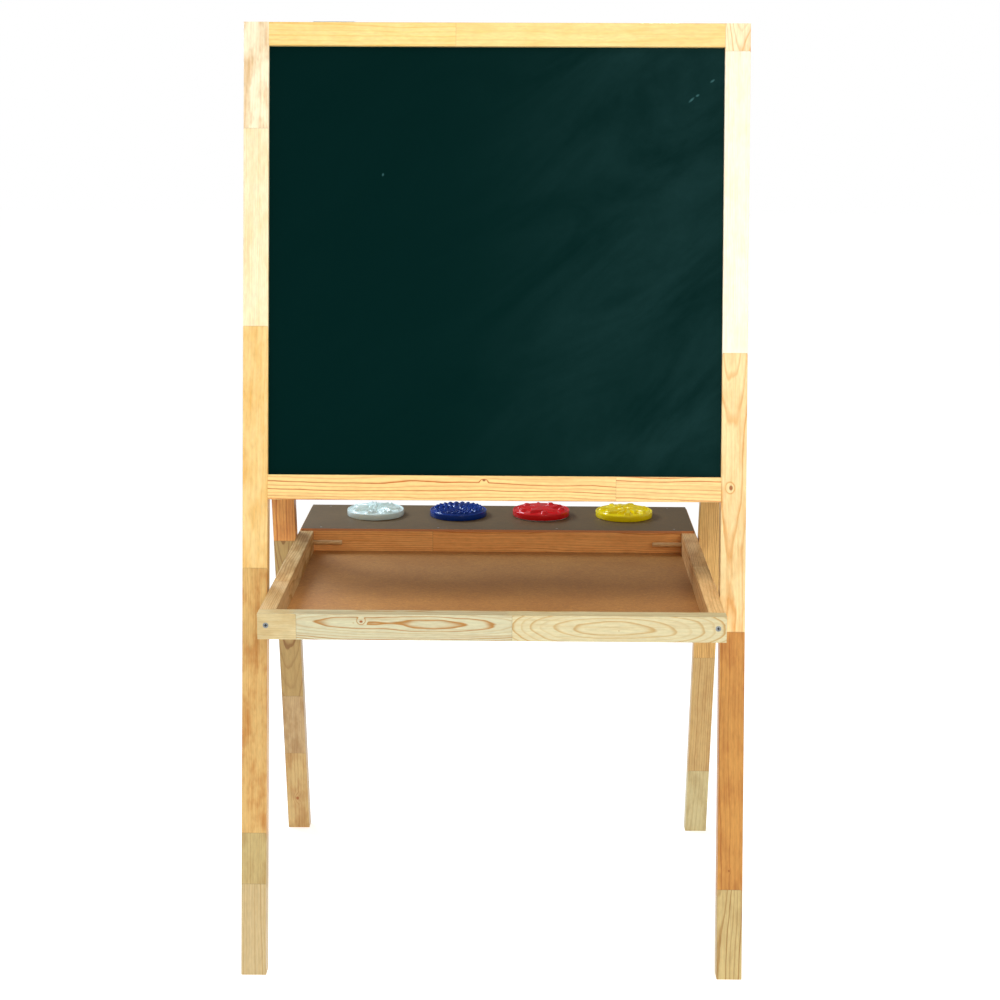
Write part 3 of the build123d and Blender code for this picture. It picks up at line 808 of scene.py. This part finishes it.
# %% Hardboard
def hardboard(name, names, pale, brown, dark, edge, gloss):
    """Pressed fibreboard: faces from dark to pale by its tone, and an edge colour where it is sawn.

    Tone = 0.35 * clouds 60 mm wide + bundles 3 mm wide + fibres 9 mm long, drawn 0.8 mm wide to
    show.  An edge is where the surface doesn't face up or down.
    """
    made, tree, shader = material(name)
    spot = node(tree, "ShaderNodeTexCoord").outputs
    cloud = node(
        tree, "ShaderNodeTexNoise", {"Vector": spot["Object"], "Scale": MM / 60, "Detail": 3.0}
    ).outputs[0]
    bundle = node(
        tree,
        "ShaderNodeTexNoise",
        {"Vector": spot["Object"], "Scale": MM / 3, "Detail": 4.0, "Roughness": 0.7},
    ).outputs[0]
    laid = node(
        tree,
        "ShaderNodeMapping",
        {"Vector": spot["Object"], "Scale": (MM / 9, MM / 0.8, MM / 0.8)},
    ).outputs[0]
    fibre = node(
        tree, "ShaderNodeTexNoise", {"Vector": laid, "Scale": 1.0, "Detail": 2.0, "Distortion": 1.2}
    ).outputs[0]
    mixed = node(
        tree, "ShaderNodeMath", {0: cloud, 1: 0.35, 2: bundle}, operation="MULTIPLY_ADD"
    ).outputs[0]
    mixed = node(tree, "ShaderNodeMath", {0: mixed, 1: fibre}, operation="ADD").outputs[0]
    tone = node(
        tree, "ShaderNodeMapRange", {"Value": mixed, "From Min": 0.75, "From Max": 1.6}
    ).outputs[0]
    ramp = node(tree, "ShaderNodeValToRGB", {0: tone})
    ramp.color_ramp.elements.new(0.5)
    for element, colour in zip(ramp.color_ramp.elements, (dark, brown, pale)):
        element.color = linear(colour)
    facing = node(tree, "ShaderNodeSeparateXYZ", {0: spot["Normal"]}).outputs[2]
    facing = node(tree, "ShaderNodeMath", {0: facing}, operation="ABSOLUTE").outputs[0]
    sawn = node(tree, "ShaderNodeMath", {0: facing, 1: 0.5}, operation="LESS_THAN").outputs[0]
    colour = node(
        tree, "ShaderNodeMix", {"Factor": sawn, 6: ramp.outputs[0], 7: linear(edge)},
        data_type="RGBA",
    ).outputs[2]
    rough = node(
        tree, "ShaderNodeMapRange", {"Value": bundle, "To Min": gloss, "To Max": gloss + 0.16}
    ).outputs[0]
    bump = node(
        tree, "ShaderNodeBump", {"Height": mixed, "Strength": 0.2, "Distance": 0.0003}
    ).outputs[0]
    plug(tree, shader, {"Base Color": colour, "Roughness": rough, "Normal": bump, "IOR": 1.5})
    finish_nodes(names, made)


hardboard(
    "pressed_hardboard_tray_floor", ["tray_floor"],
    "#ce9c59", "#b17d45", "#8f5d32", "#a87048", 0.4,
)
# The shelf is the same hardboard as the floor: its darker, greyer colours are painted shade and a
# painted grey reflection, for a board lying in the frames' shadow.
hardboard(
    "pressed_hardboard_cup_shelf_in_painted_shade", ["cup_shelf"],
    "#866b45", "#70593a", "#55442e", "#d48c5a", 0.42,
)
print("hardboard: floor and shelf")

# %% [markdown]
# The chalkboard is fibreboard with slate paint: nearly black green, rolled on with fine grit so that
# it bites the chalk.  Use leaves a haze of chalk dust wiped in soft arcs.  The haze is made thicker to
# the right as a painted sheen: the lighter right side that light gives the board, painted into its
# colour.

# %% Chalk dust and a painted sheen to the right
def chalk_dust_and_right_sheen(tree, spot):
    """Share of chalk haze with a painted sheen, the noise of the wiped sweeps, and the noise of the
    grit, drawn 9 mm coarse.

    Share = amount * (1 + grit) * a rise from 0.2 to 1.5 over the wiped noise, with the amount growing
    over 370 mm to the right: a painted sheen, lighter to the right.
    """
    sweep = node(
        tree,
        "ShaderNodeMapping",
        {"Vector": spot, "Rotation": (0.0, math.radians(-35), 0.0), "Scale": (0.26, 0.26, 0.09)},
        vector_type="TEXTURE",
    ).outputs[0]
    wiped = node(
        tree,
        "ShaderNodeTexNoise",
        {"Vector": sweep, "Scale": 1.0, "Detail": 6.0, "Roughness": 0.62, "Distortion": 1.1},
    ).outputs[0]
    grit = node(
        tree,
        "ShaderNodeTexNoise",
        {"Vector": spot, "Scale": MM / 9, "Detail": 5.0, "Roughness": 0.75},
    ).outputs[0]
    side = node(tree, "ShaderNodeSeparateXYZ", {0: spot}).outputs[0]
    # Painted sheen: the haze is made thicker to the right, where the board looks lighter under the
    # light.
    dust_and_sheen_thickness = node(
        tree,
        "ShaderNodeMapRange",
        {"Value": side, "From Min": -0.1, "From Max": 0.27, "To Min": 0.0012, "To Max": 0.02},
        interpolation_type="SMOOTHSTEP",
    ).outputs[0]
    dust_and_sheen = node(
        tree,
        "ShaderNodeMapRange",
        {"Value": wiped, "From Min": 0.32, "From Max": 0.68, "To Min": 0.2, "To Max": 1.5},
    ).outputs[0]
    dust_and_sheen = node(tree, "ShaderNodeMath", {0: dust_and_sheen, 1: dust_and_sheen_thickness}, operation="MULTIPLY").outputs[0]
    dust_and_sheen = node(
        tree, "ShaderNodeMath", {0: dust_and_sheen, 1: grit, 2: dust_and_sheen}, operation="MULTIPLY_ADD"
    ).outputs[0]
    return dust_and_sheen, wiped, grit


print("chalk dust is wiped in sweeps 260 mm long and 90 mm wide")

# %% [markdown]
# A short stroke or two of chalk is missed by the sponge, and a speck here and there.

# %% Chalk strokes
# Place across and up in metres, slope in radians, and half the stroke's length in metres.
STROKES = (
    (0.2389, 1.0621, 0.75, 0.0055),
    (0.2462, 1.0674, 0.5, 0.003),
    (0.2643, 1.0848, 0.6, 0.004),
    (-0.139, 0.971, 1.3, 0.0025),
)
HALF_STROKE_WIDTH = 0.0016


def chalk_strokes(tree, spot):
    """Share of chalk: each stroke is an ellipse, and a speck is the middle of one 55 mm cell in 5."""
    strokes = 0.0
    for x, z, slope, length in STROKES:
        turned = node(
            tree,
            "ShaderNodeMapping",
            {
                "Vector": spot,
                "Location": (x, 0, z),
                "Rotation": (0, -slope, 0),
                "Scale": (length, 1.0, HALF_STROKE_WIDTH),
            },
            vector_type="TEXTURE",
        ).outputs[0]
        turned = node(
            tree, "ShaderNodeVectorMath", {0: turned, 1: (1, 0, 1)}, operation="MULTIPLY"
        ).outputs[0]
        off = node(tree, "ShaderNodeVectorMath", {0: turned}, operation="LENGTH").outputs["Value"]
        mark = node(
            tree,
            "ShaderNodeMapRange",
            {"Value": off, "From Min": 0.3, "From Max": 1.0, "To Min": 0.22, "To Max": 0.0},
        ).outputs[0]
        strokes = node(tree, "ShaderNodeMath", {0: strokes, 1: mark}, operation="ADD").outputs[0]
    cell = node(tree, "ShaderNodeTexVoronoi", {"Vector": spot, "Scale": MM / 55}).outputs
    rare = node(tree, "ShaderNodeSeparateColor", {0: cell["Color"]}).outputs[0]
    rare = node(tree, "ShaderNodeMath", {0: rare, 1: 0.8}, operation="GREATER_THAN").outputs[0]
    speck = node(
        tree,
        "ShaderNodeMapRange",
        {
            "Value": cell["Distance"],
            "From Min": 0.008,
            "From Max": 0.02,
            "To Min": 0.3,
            "To Max": 0.0,
        },
    ).outputs[0]
    return node(
        tree, "ShaderNodeMath", {0: speck, 1: rare, 2: strokes}, operation="MULTIPLY_ADD"
    ).outputs[0]


print("chalk strokes:", len(STROKES))

# %% [markdown]
# Slate paint is matt: its grit scatters nearly all light, so it hardly mirrors anything even at a low
# angle, and its specular level is almost nothing.

# %% Chalkboard
made, tree, shader = material("rolled_slate_green_chalkboard_paint")
spot = node(tree, "ShaderNodeTexCoord").outputs["Object"]
dust_and_sheen, wiped, grit = chalk_dust_and_right_sheen(tree, spot)
haze = node(
    tree,
    "ShaderNodeMath",
    {0: dust_and_sheen, 1: chalk_strokes(tree, spot)},
    operation="ADD",
    use_clamp=True,
).outputs[0]
paint = node(
    tree, "ShaderNodeMix", {"Factor": haze, 6: linear("#001d1c"), 7: linear("#68a8ae")},
    data_type="RGBA",
).outputs[2]
rough = node(
    tree, "ShaderNodeMapRange", {"Value": wiped, "To Min": 0.42, "To Max": 0.62}
).outputs[0]
bump = node(
    tree, "ShaderNodeBump", {"Height": grit, "Strength": 0.3, "Distance": 0.0002}
).outputs[0]
plug(tree, shader, {
    "Base Color": paint, "Roughness": rough, "Normal": bump, "Specular IOR Level": 0.015,
})
finish_nodes(["chalkboard"], made)
print("chalkboard:", len(tree.nodes), "nodes")

# %% [markdown]
# The other board is faced with white melamine, a hard smooth resin skin.  Pressing leaves it a faint
# orange peel of 2.5 mm, and felt pens leave grey ghosts about 150 mm wide.

# %% Drawing board
made, tree, shader = material("white_melamine_faced_board")
spot = node(tree, "ShaderNodeTexCoord").outputs["Object"]
ghost = node(
    tree,
    "ShaderNodeTexNoise",
    {"Vector": spot, "Scale": MM / 150, "Detail": 4.0, "Distortion": 0.8},
).outputs[0]
peel = node(
    tree, "ShaderNodeTexNoise", {"Vector": spot, "Scale": MM / 2.5, "Detail": 1.0}
).outputs[0]
tone = node(
    tree, "ShaderNodeMix", {"Factor": ghost, 6: linear("#f6f6f3"), 7: linear("#e9e9e6")},
    data_type="RGBA",
).outputs[2]
rough = node(
    tree, "ShaderNodeMapRange", {"Value": ghost, "To Min": 0.16, "To Max": 0.3}
).outputs[0]
bump = node(
    tree, "ShaderNodeBump", {"Height": peel, "Strength": 0.12, "Distance": 0.0002}
).outputs[0]
plug(tree, shader, {"Base Color": tone, "Roughness": rough, "Normal": bump})
finish_nodes(["drawing_board"], made)
print("drawing board:", len(tree.nodes), "nodes")

# %% [markdown]
# Metal parts are few: zinc-plated bolts, hinges and nails, darkened screws and brass inserts.  Plated
# steel is never one grey: the zinc crystals differ, and handling scuffs the roughness.

# %% Metals
def metal(name, names, base, stain, low, high):
    """Plated steel or brass: base to stain in 4 mm patches, roughness low to high in 0.8 mm scuffs."""
    made, tree, shader = material(name)
    spot = node(tree, "ShaderNodeTexCoord").outputs["Object"]
    patch = node(
        tree, "ShaderNodeTexNoise", {"Vector": spot, "Scale": MM / 4, "Detail": 3.0}
    ).outputs[0]
    scuff = node(
        tree, "ShaderNodeTexNoise", {"Vector": spot, "Scale": MM / 0.8, "Detail": 2.0}
    ).outputs[0]
    tone = node(
        tree, "ShaderNodeMix", {"Factor": patch, 6: linear(base), 7: linear(stain)},
        data_type="RGBA",
    ).outputs[2]
    rough = node(
        tree, "ShaderNodeMapRange", {"Value": scuff, "To Min": low, "To Max": high}
    ).outputs[0]
    bump = node(
        tree, "ShaderNodeBump", {"Height": scuff, "Strength": 0.1, "Distance": 0.0001}
    ).outputs[0]
    plug(tree, shader, {"Base Color": tone, "Roughness": rough, "Normal": bump, "Metallic": 1.0})
    finish_nodes(names, made)
    return tree, shader, tone


sides = ("left", "right")
metal(
    "zinc_plated_steel",
    [side + part for side in sides for part in ("_hinge_front_leaf", "_hinge_rear_leaf", "_hinge_pin")]
    + [side + "_pivot_bolt" for side in sides]
    + ["pivot_washers", "front_hinge_screws", "rear_hinge_screws", "shelf_nails", "floor_nails"],
    "#eceeee", "#c6c8c8", 0.22, 0.42,
)
metal("turned_brass", ["pivot_inserts"], "#d8b25a", "#a87f33", 0.25, 0.45)
print("zinc-plated steel and brass")

# %% [markdown]
# The tray's screws are darkened, and their driver recesses get painted shade: wherever a
# head is hemmed in within 2 mm, its colour is made nearly black.

# %% Darkened screws, with painted shade in their recesses
PAINTED_RECESS_SHADE = 0.04

tree, shader, tone = metal(
    "darkened_zinc_plated_steel",
    ["tray_front_screws", "tray_side_screws"],
    "#a9b0b4", "#6f7375", 0.3, 0.5,
)
# Painted shade: ambient occlusion darkens the colour wherever the head is hemmed in.
hemmed = node(tree, "ShaderNodeAmbientOcclusion", {"Distance": 0.002}, samples=8).outputs["AO"]
painted_recess_shade_factor = node(
    tree,
    "ShaderNodeMapRange",
    {"Value": hemmed, "From Min": 0.7, "From Max": 1.0, "To Min": PAINTED_RECESS_SHADE},
).outputs[0]
tone_in_painted_recess_shade = node(tree, "ShaderNodeVectorMath", {0: tone, "Scale": painted_recess_shade_factor}, operation="SCALE").outputs[0]
plug(tree, shader, {"Base Color": tone_in_painted_recess_shade})
print("darkened screws:", len(tree.nodes), "nodes")

# %% [markdown]
# Pegs and dowels are beech, turned on a lathe: even, pinkish, with short dark flecks along the grain.

# %% Beech
def beech(name, names):
    """Turned beech along x: flecks 9 mm long on a soft pinkish ground, drawn 0.8 mm wide to show."""
    made, tree, shader = material(name)
    spot = node(tree, "ShaderNodeTexCoord").outputs["Object"]
    laid = node(
        tree, "ShaderNodeMapping", {"Vector": spot, "Scale": (MM / 9, MM / 0.8, MM / 0.8)}
    ).outputs[0]
    fleck = node(
        tree, "ShaderNodeTexNoise", {"Vector": laid, "Scale": 1.0, "Detail": 3.0}
    ).outputs[0]
    tone = node(
        tree, "ShaderNodeMapRange", {"Value": fleck, "From Min": 0.35, "From Max": 0.7}
    ).outputs[0]
    colour = node(
        tree, "ShaderNodeMix", {"Factor": tone, 6: linear("#e2bd88"), 7: linear("#b98752")},
        data_type="RGBA",
    ).outputs[2]
    bump = node(
        tree, "ShaderNodeBump", {"Height": fleck, "Strength": 0.2, "Distance": 0.0002}
    ).outputs[0]
    plug(tree, shader, {"Base Color": colour, "Roughness": 0.5, "Normal": bump})
    finish_nodes(names, made)


beech("turned_beech", ["left_peg", "right_peg", "front_frame_dowels", "rear_frame_dowels"])
print("beech: pegs and dowels")

# %% [markdown]
# Cups and lids are injection-moulded: the cups in natural polypropylene, which lets light through, and
# the lids in glossy coloured polypropylene.  Moulded plastic is a little cloudy under its skin, and its
# skin isn't quite flat, so reflections wobble.

# %% Moulded plastics
def moulded(name, deep, pale, gloss, cloudy, clear):
    """Polypropylene: clouds of 25 mm between two shades, orange peel of 3 mm.

    Cloudy is the share of light scattered up to 4 mm under the skin, and clear the share let through.
    """
    made, tree, shader = material(name)
    spot = node(tree, "ShaderNodeTexCoord").outputs["Object"]
    cloud = node(
        tree, "ShaderNodeTexNoise", {"Vector": spot, "Scale": MM / 25, "Detail": 2.0}
    ).outputs[0]
    peel = node(
        tree, "ShaderNodeTexNoise", {"Vector": spot, "Scale": MM / 3, "Detail": 2.0}
    ).outputs[0]
    colour = node(
        tree, "ShaderNodeMix", {"Factor": cloud, 6: linear(deep), 7: linear(pale)},
        data_type="RGBA",
    ).outputs[2]
    rough = node(
        tree, "ShaderNodeMapRange", {"Value": peel, "To Min": gloss, "To Max": gloss + 0.1}
    ).outputs[0]
    bump = node(
        tree, "ShaderNodeBump", {"Height": peel, "Strength": 0.08, "Distance": 0.0002}
    ).outputs[0]
    plug(tree, shader, {
        "Base Color": colour,
        "Roughness": rough,
        "Normal": bump,
        "IOR": 1.49,
        "Specular IOR Level": 0.38,
        "Subsurface Weight": cloudy,
        "Subsurface Radius": (0.004, 0.004, 0.004),
        "Subsurface Scale": 1.0,
        "Transmission Weight": clear,
    })
    return made


natural = moulded("natural_polypropylene_moulded", "#dfe4df", "#f2f5f1", 0.3, 0.3, 0.35)
finish_nodes([colour + "_cup" for colour in ("white", "blue", "red", "yellow")], natural)
lid_plastics = {
    "white": moulded("frosted_polypropylene_moulded", "#e2faf4", "#f2fffc", 0.12, 0.1, 0.1),
    "blue": moulded("blue_polypropylene_moulded", "#002c7c", "#023a9a", 0.12, 0.0, 0.0),
    "red": moulded("red_polypropylene_moulded", "#d60a12", "#e8181c", 0.14, 0.0, 0.0),
    "yellow": moulded("yellow_polypropylene_moulded", "#fcd800", "#ffec08", 0.12, 0.0, 0.0),
}
print("moulded plastics:", len(lid_plastics) + 1)

# %% [markdown]
# Each lid is a disc with a skirt and a plug ring, and a sculpted motif on top so that a child can tell
# the colours apart by touch.  A mould is cut by turning and engraving, and the mesh is made the same
# way: a profile turned about the cup's axis, and on its top a height that depends on radius and angle.
# The motifs' heights are built from soft-edged plateaus, repeated round the lid in equal sectors.

# %% Plateaus and sectors
def smooth(t):
    """Smooth step from 0 to 1: 3 t squared - 2 t cubed, with t kept between 0 and 1."""
    t = np.clip(t, 0.0, 1.0)
    return t * t * (3 - 2 * t)


def plateau(distance, soft=0.2):
    """1 inside, 0 outside distance 1, with a smooth step as wide as soft between them."""
    return smooth((1.0 - distance) / soft)


def sector(angle, count):
    """Angle folded into one of count equal sectors, from minus to plus half a sector."""
    width = 2 * np.pi / count
    return (angle + width / 2) % width - width / 2


print("a step's middle is", smooth(0.5))

# %% [markdown]
# The four motifs are plain shapes, sized in millimetres: each gives a height for a radius and an angle.

# %% Motifs
def flower(r, angle):
    """Seven steep petals, each with ribs that fan from its root, round a centre of beads."""
    turn = sector(angle, 7)
    x, y = r * np.cos(turn) - 23.5, r * np.sin(turn)
    petal = plateau(np.hypot(x / 13.0, y / 9.0), 0.22) * (1.75 + 0.55 * np.cos(turn * 40))
    petal *= 1.0 - 0.5 * plateau(np.hypot((x - 3.0) / 5.0, y / 3.0), 0.5)
    beads = plateau(np.hypot(r - 8.0, r * sector(angle, 8)) / 2.6, 0.6) * 2.1
    return np.maximum(np.maximum(petal, beads), plateau(r / 4.6, 0.5) * 2.5)


def ripple(r, angle):
    """Rings 7.3 mm apart, cut into scallops that shift by half from ring to ring."""
    band = np.floor(r / 7.3)
    ring = plateau(np.abs(r / 7.3 - band - 0.5) / 0.4, 0.45)
    scallop = 0.5 + 0.5 * np.cos((4 + 5 * band) * angle + np.pi * band)
    return ring * (0.9 + 1.6 * scallop ** 0.6)


def star(r, angle):
    """Five points over a ring of beads: the roof falls from each point's ridge to its edge."""
    turn = np.abs(sector(angle, 5))
    edge = 35.5 * math.sin(0.42) / np.sin(0.42 + turn)
    roof = plateau(r / edge, 0.12) * (1.3 + 1.2 * np.clip(1.0 - turn * r / 10.0, 0.0, 1.0))
    beads = plateau(np.hypot(r - 29.5, r * (np.pi / 5 - turn)) / 6.0, 0.5) * 2.2
    return np.maximum(roof, beads)


def sun(r, angle):
    """A ribbed middle and fourteen bent rays, long and short in turn."""
    bent = angle + 0.014 * (r - 13.0)
    turn = sector(bent, 14)
    reach = np.where(np.round(bent / (np.pi / 7)) % 2 == 0, 36.0, 29.0)
    ray = plateau(np.abs(turn) * r / (1.6 + r * 0.09), 0.35)
    ray *= plateau(np.abs(r - 8.0) / (reach - 8.0), 0.1)
    middle = plateau(r / 12.5, 0.2) * (1.9 + 0.6 * np.cos(r * 2.1))
    return np.maximum(np.where(r > 13.0, ray * 2.3, 0.0), middle)


MOTIFS = {"white": flower, "blue": ripple, "red": star, "yellow": sun}
print("motifs:", ", ".join(MOTIFS))

# %% [markdown]
# The grid has a ring of points for each step along the profile, from the middle of the top, out over
# the rim, down the skirt and back underneath.  One point closes each end.

# %% Turned mesh
def closed_rings(name, points):
    """Mesh from rings of points, shape (rings, steps, 3): quads between rings, a fan at each end."""
    rings, steps = points.shape[:2]
    index = np.arange(rings * steps).reshape(rings, steps)
    here, beyond = index[:-1], index[1:]
    quads = np.stack(
        [here, beyond, np.roll(beyond, -1, 1), np.roll(here, -1, 1)], axis=-1
    ).reshape(-1, 4)
    first, last = rings * steps, rings * steps + 1
    top = np.stack([np.full(steps, first), index[0], np.roll(index[0], -1)], axis=-1)
    bottom = np.stack([np.full(steps, last), np.roll(index[-1], -1), index[-1]], axis=-1)
    corners = np.vstack([points.reshape(-1, 3), points[0].mean(0), points[-1].mean(0)])
    mesh = bpy.data.meshes.new(name)
    mesh.from_pydata(corners.tolist(), [], quads.tolist() + top.tolist() + bottom.tolist())
    mesh.shade_smooth()
    mesh.set_sharp_from_angle(angle=math.radians(48))
    made = bpy.data.objects.new(name, mesh)
    bpy.context.scene.collection.objects.link(made)
    return made


print("a ring of four points and a lid's 280 are joined alike")

# %% [markdown]
# The profile has a flat top for the motif, a gutter, a raised lip that rounds over into the skirt, and
# below it a groove for the cup's rim between the skirt and the plug.

# %% Lid profile
LID_HEIGHT = 7.6
CEILING = 5.9
SKIRT, SKIRT_INSIDE = 40.8, 39.5
PLUG, PLUG_INSIDE = 34.1, 32.8
LIP, LIP_RISE = 39.6, 0.7


def lid_profile():
    """Radius, height over the skirt's edge and share of the motif, from the top's middle to below."""
    rows = [(r, LID_HEIGHT, 1.0) for r in np.linspace(0.35, 36.8, 122)]
    rows += [(r, LID_HEIGHT - 0.3, 0.0) for r in (37.2, 38.2)]
    rows += [
        (LIP - math.cos(a), LID_HEIGHT + LIP_RISE * math.sin(a), 0.0)
        for a in np.linspace(0, np.pi, 11)
    ]
    rows += [(SKIRT, LID_HEIGHT - 0.8, 0.0), (SKIRT, 0.4, 0.0), (SKIRT - 0.3, 0.0, 0.0)]
    rows += [(SKIRT_INSIDE, 0.0, 0.0), (SKIRT_INSIDE, CEILING, 0.0)]
    rows += [(PLUG, CEILING, 0.0), (PLUG, 1.2, 0.0), (PLUG_INSIDE + 0.1, 1.0, 0.0)]
    rows += [(r, CEILING, 0.0) for r in (PLUG_INSIDE, 20.0, 1.0)]
    return np.array(rows)


profile = lid_profile()
print("lid profile:", len(profile), "points")

# %% [markdown]
# The motif stands on a low plate with a softened edge.  Each lid is turned a little further than its
# neighbour, as a child puts them back.

# %% Lids
STEPS = 280
PLATE_RADIUS, PLATE_EDGE, PLATE_HEIGHT = 36.6, 1.0, 0.9
MOTIF_GAIN, MOTIF_LIMIT = 1.45, 2.6
TURN = 0.4

angle = np.linspace(0, 2 * np.pi, STEPS, endpoint=False)
r = profile[:, 0:1] * np.ones(STEPS)
plate = profile[:, 2:3] * smooth((PLATE_RADIUS - r) / PLATE_EDGE)
for count, (colour, motif) in enumerate(MOTIFS.items()):
    low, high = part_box(colour + "_lid")
    centre = (low + high) / 2
    height = motif(r, angle + TURN * count + np.zeros_like(r))
    relief = plate * (PLATE_HEIGHT + MOTIF_GAIN * np.clip(height, 0.0, MOTIF_LIMIT))
    points = np.stack(
        [
            centre.x + r * np.cos(angle) / MM,
            centre.y + r * np.sin(angle) / MM,
            low.z + (profile[:, 1:2] + relief) / MM,
        ],
        axis=-1,
    )
    lid = closed_rings(colour + "_sculpted_lid", points)
    lid.data.materials.append(lid_plastics[colour])
    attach(lid, colour + "_lid")
    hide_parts(colour + "_lid")
    top = (points[..., 2].max() - low.z) * MM
    print(lid.name, len(lid.data.polygons), "faces,", round(top, 2), "mm high")
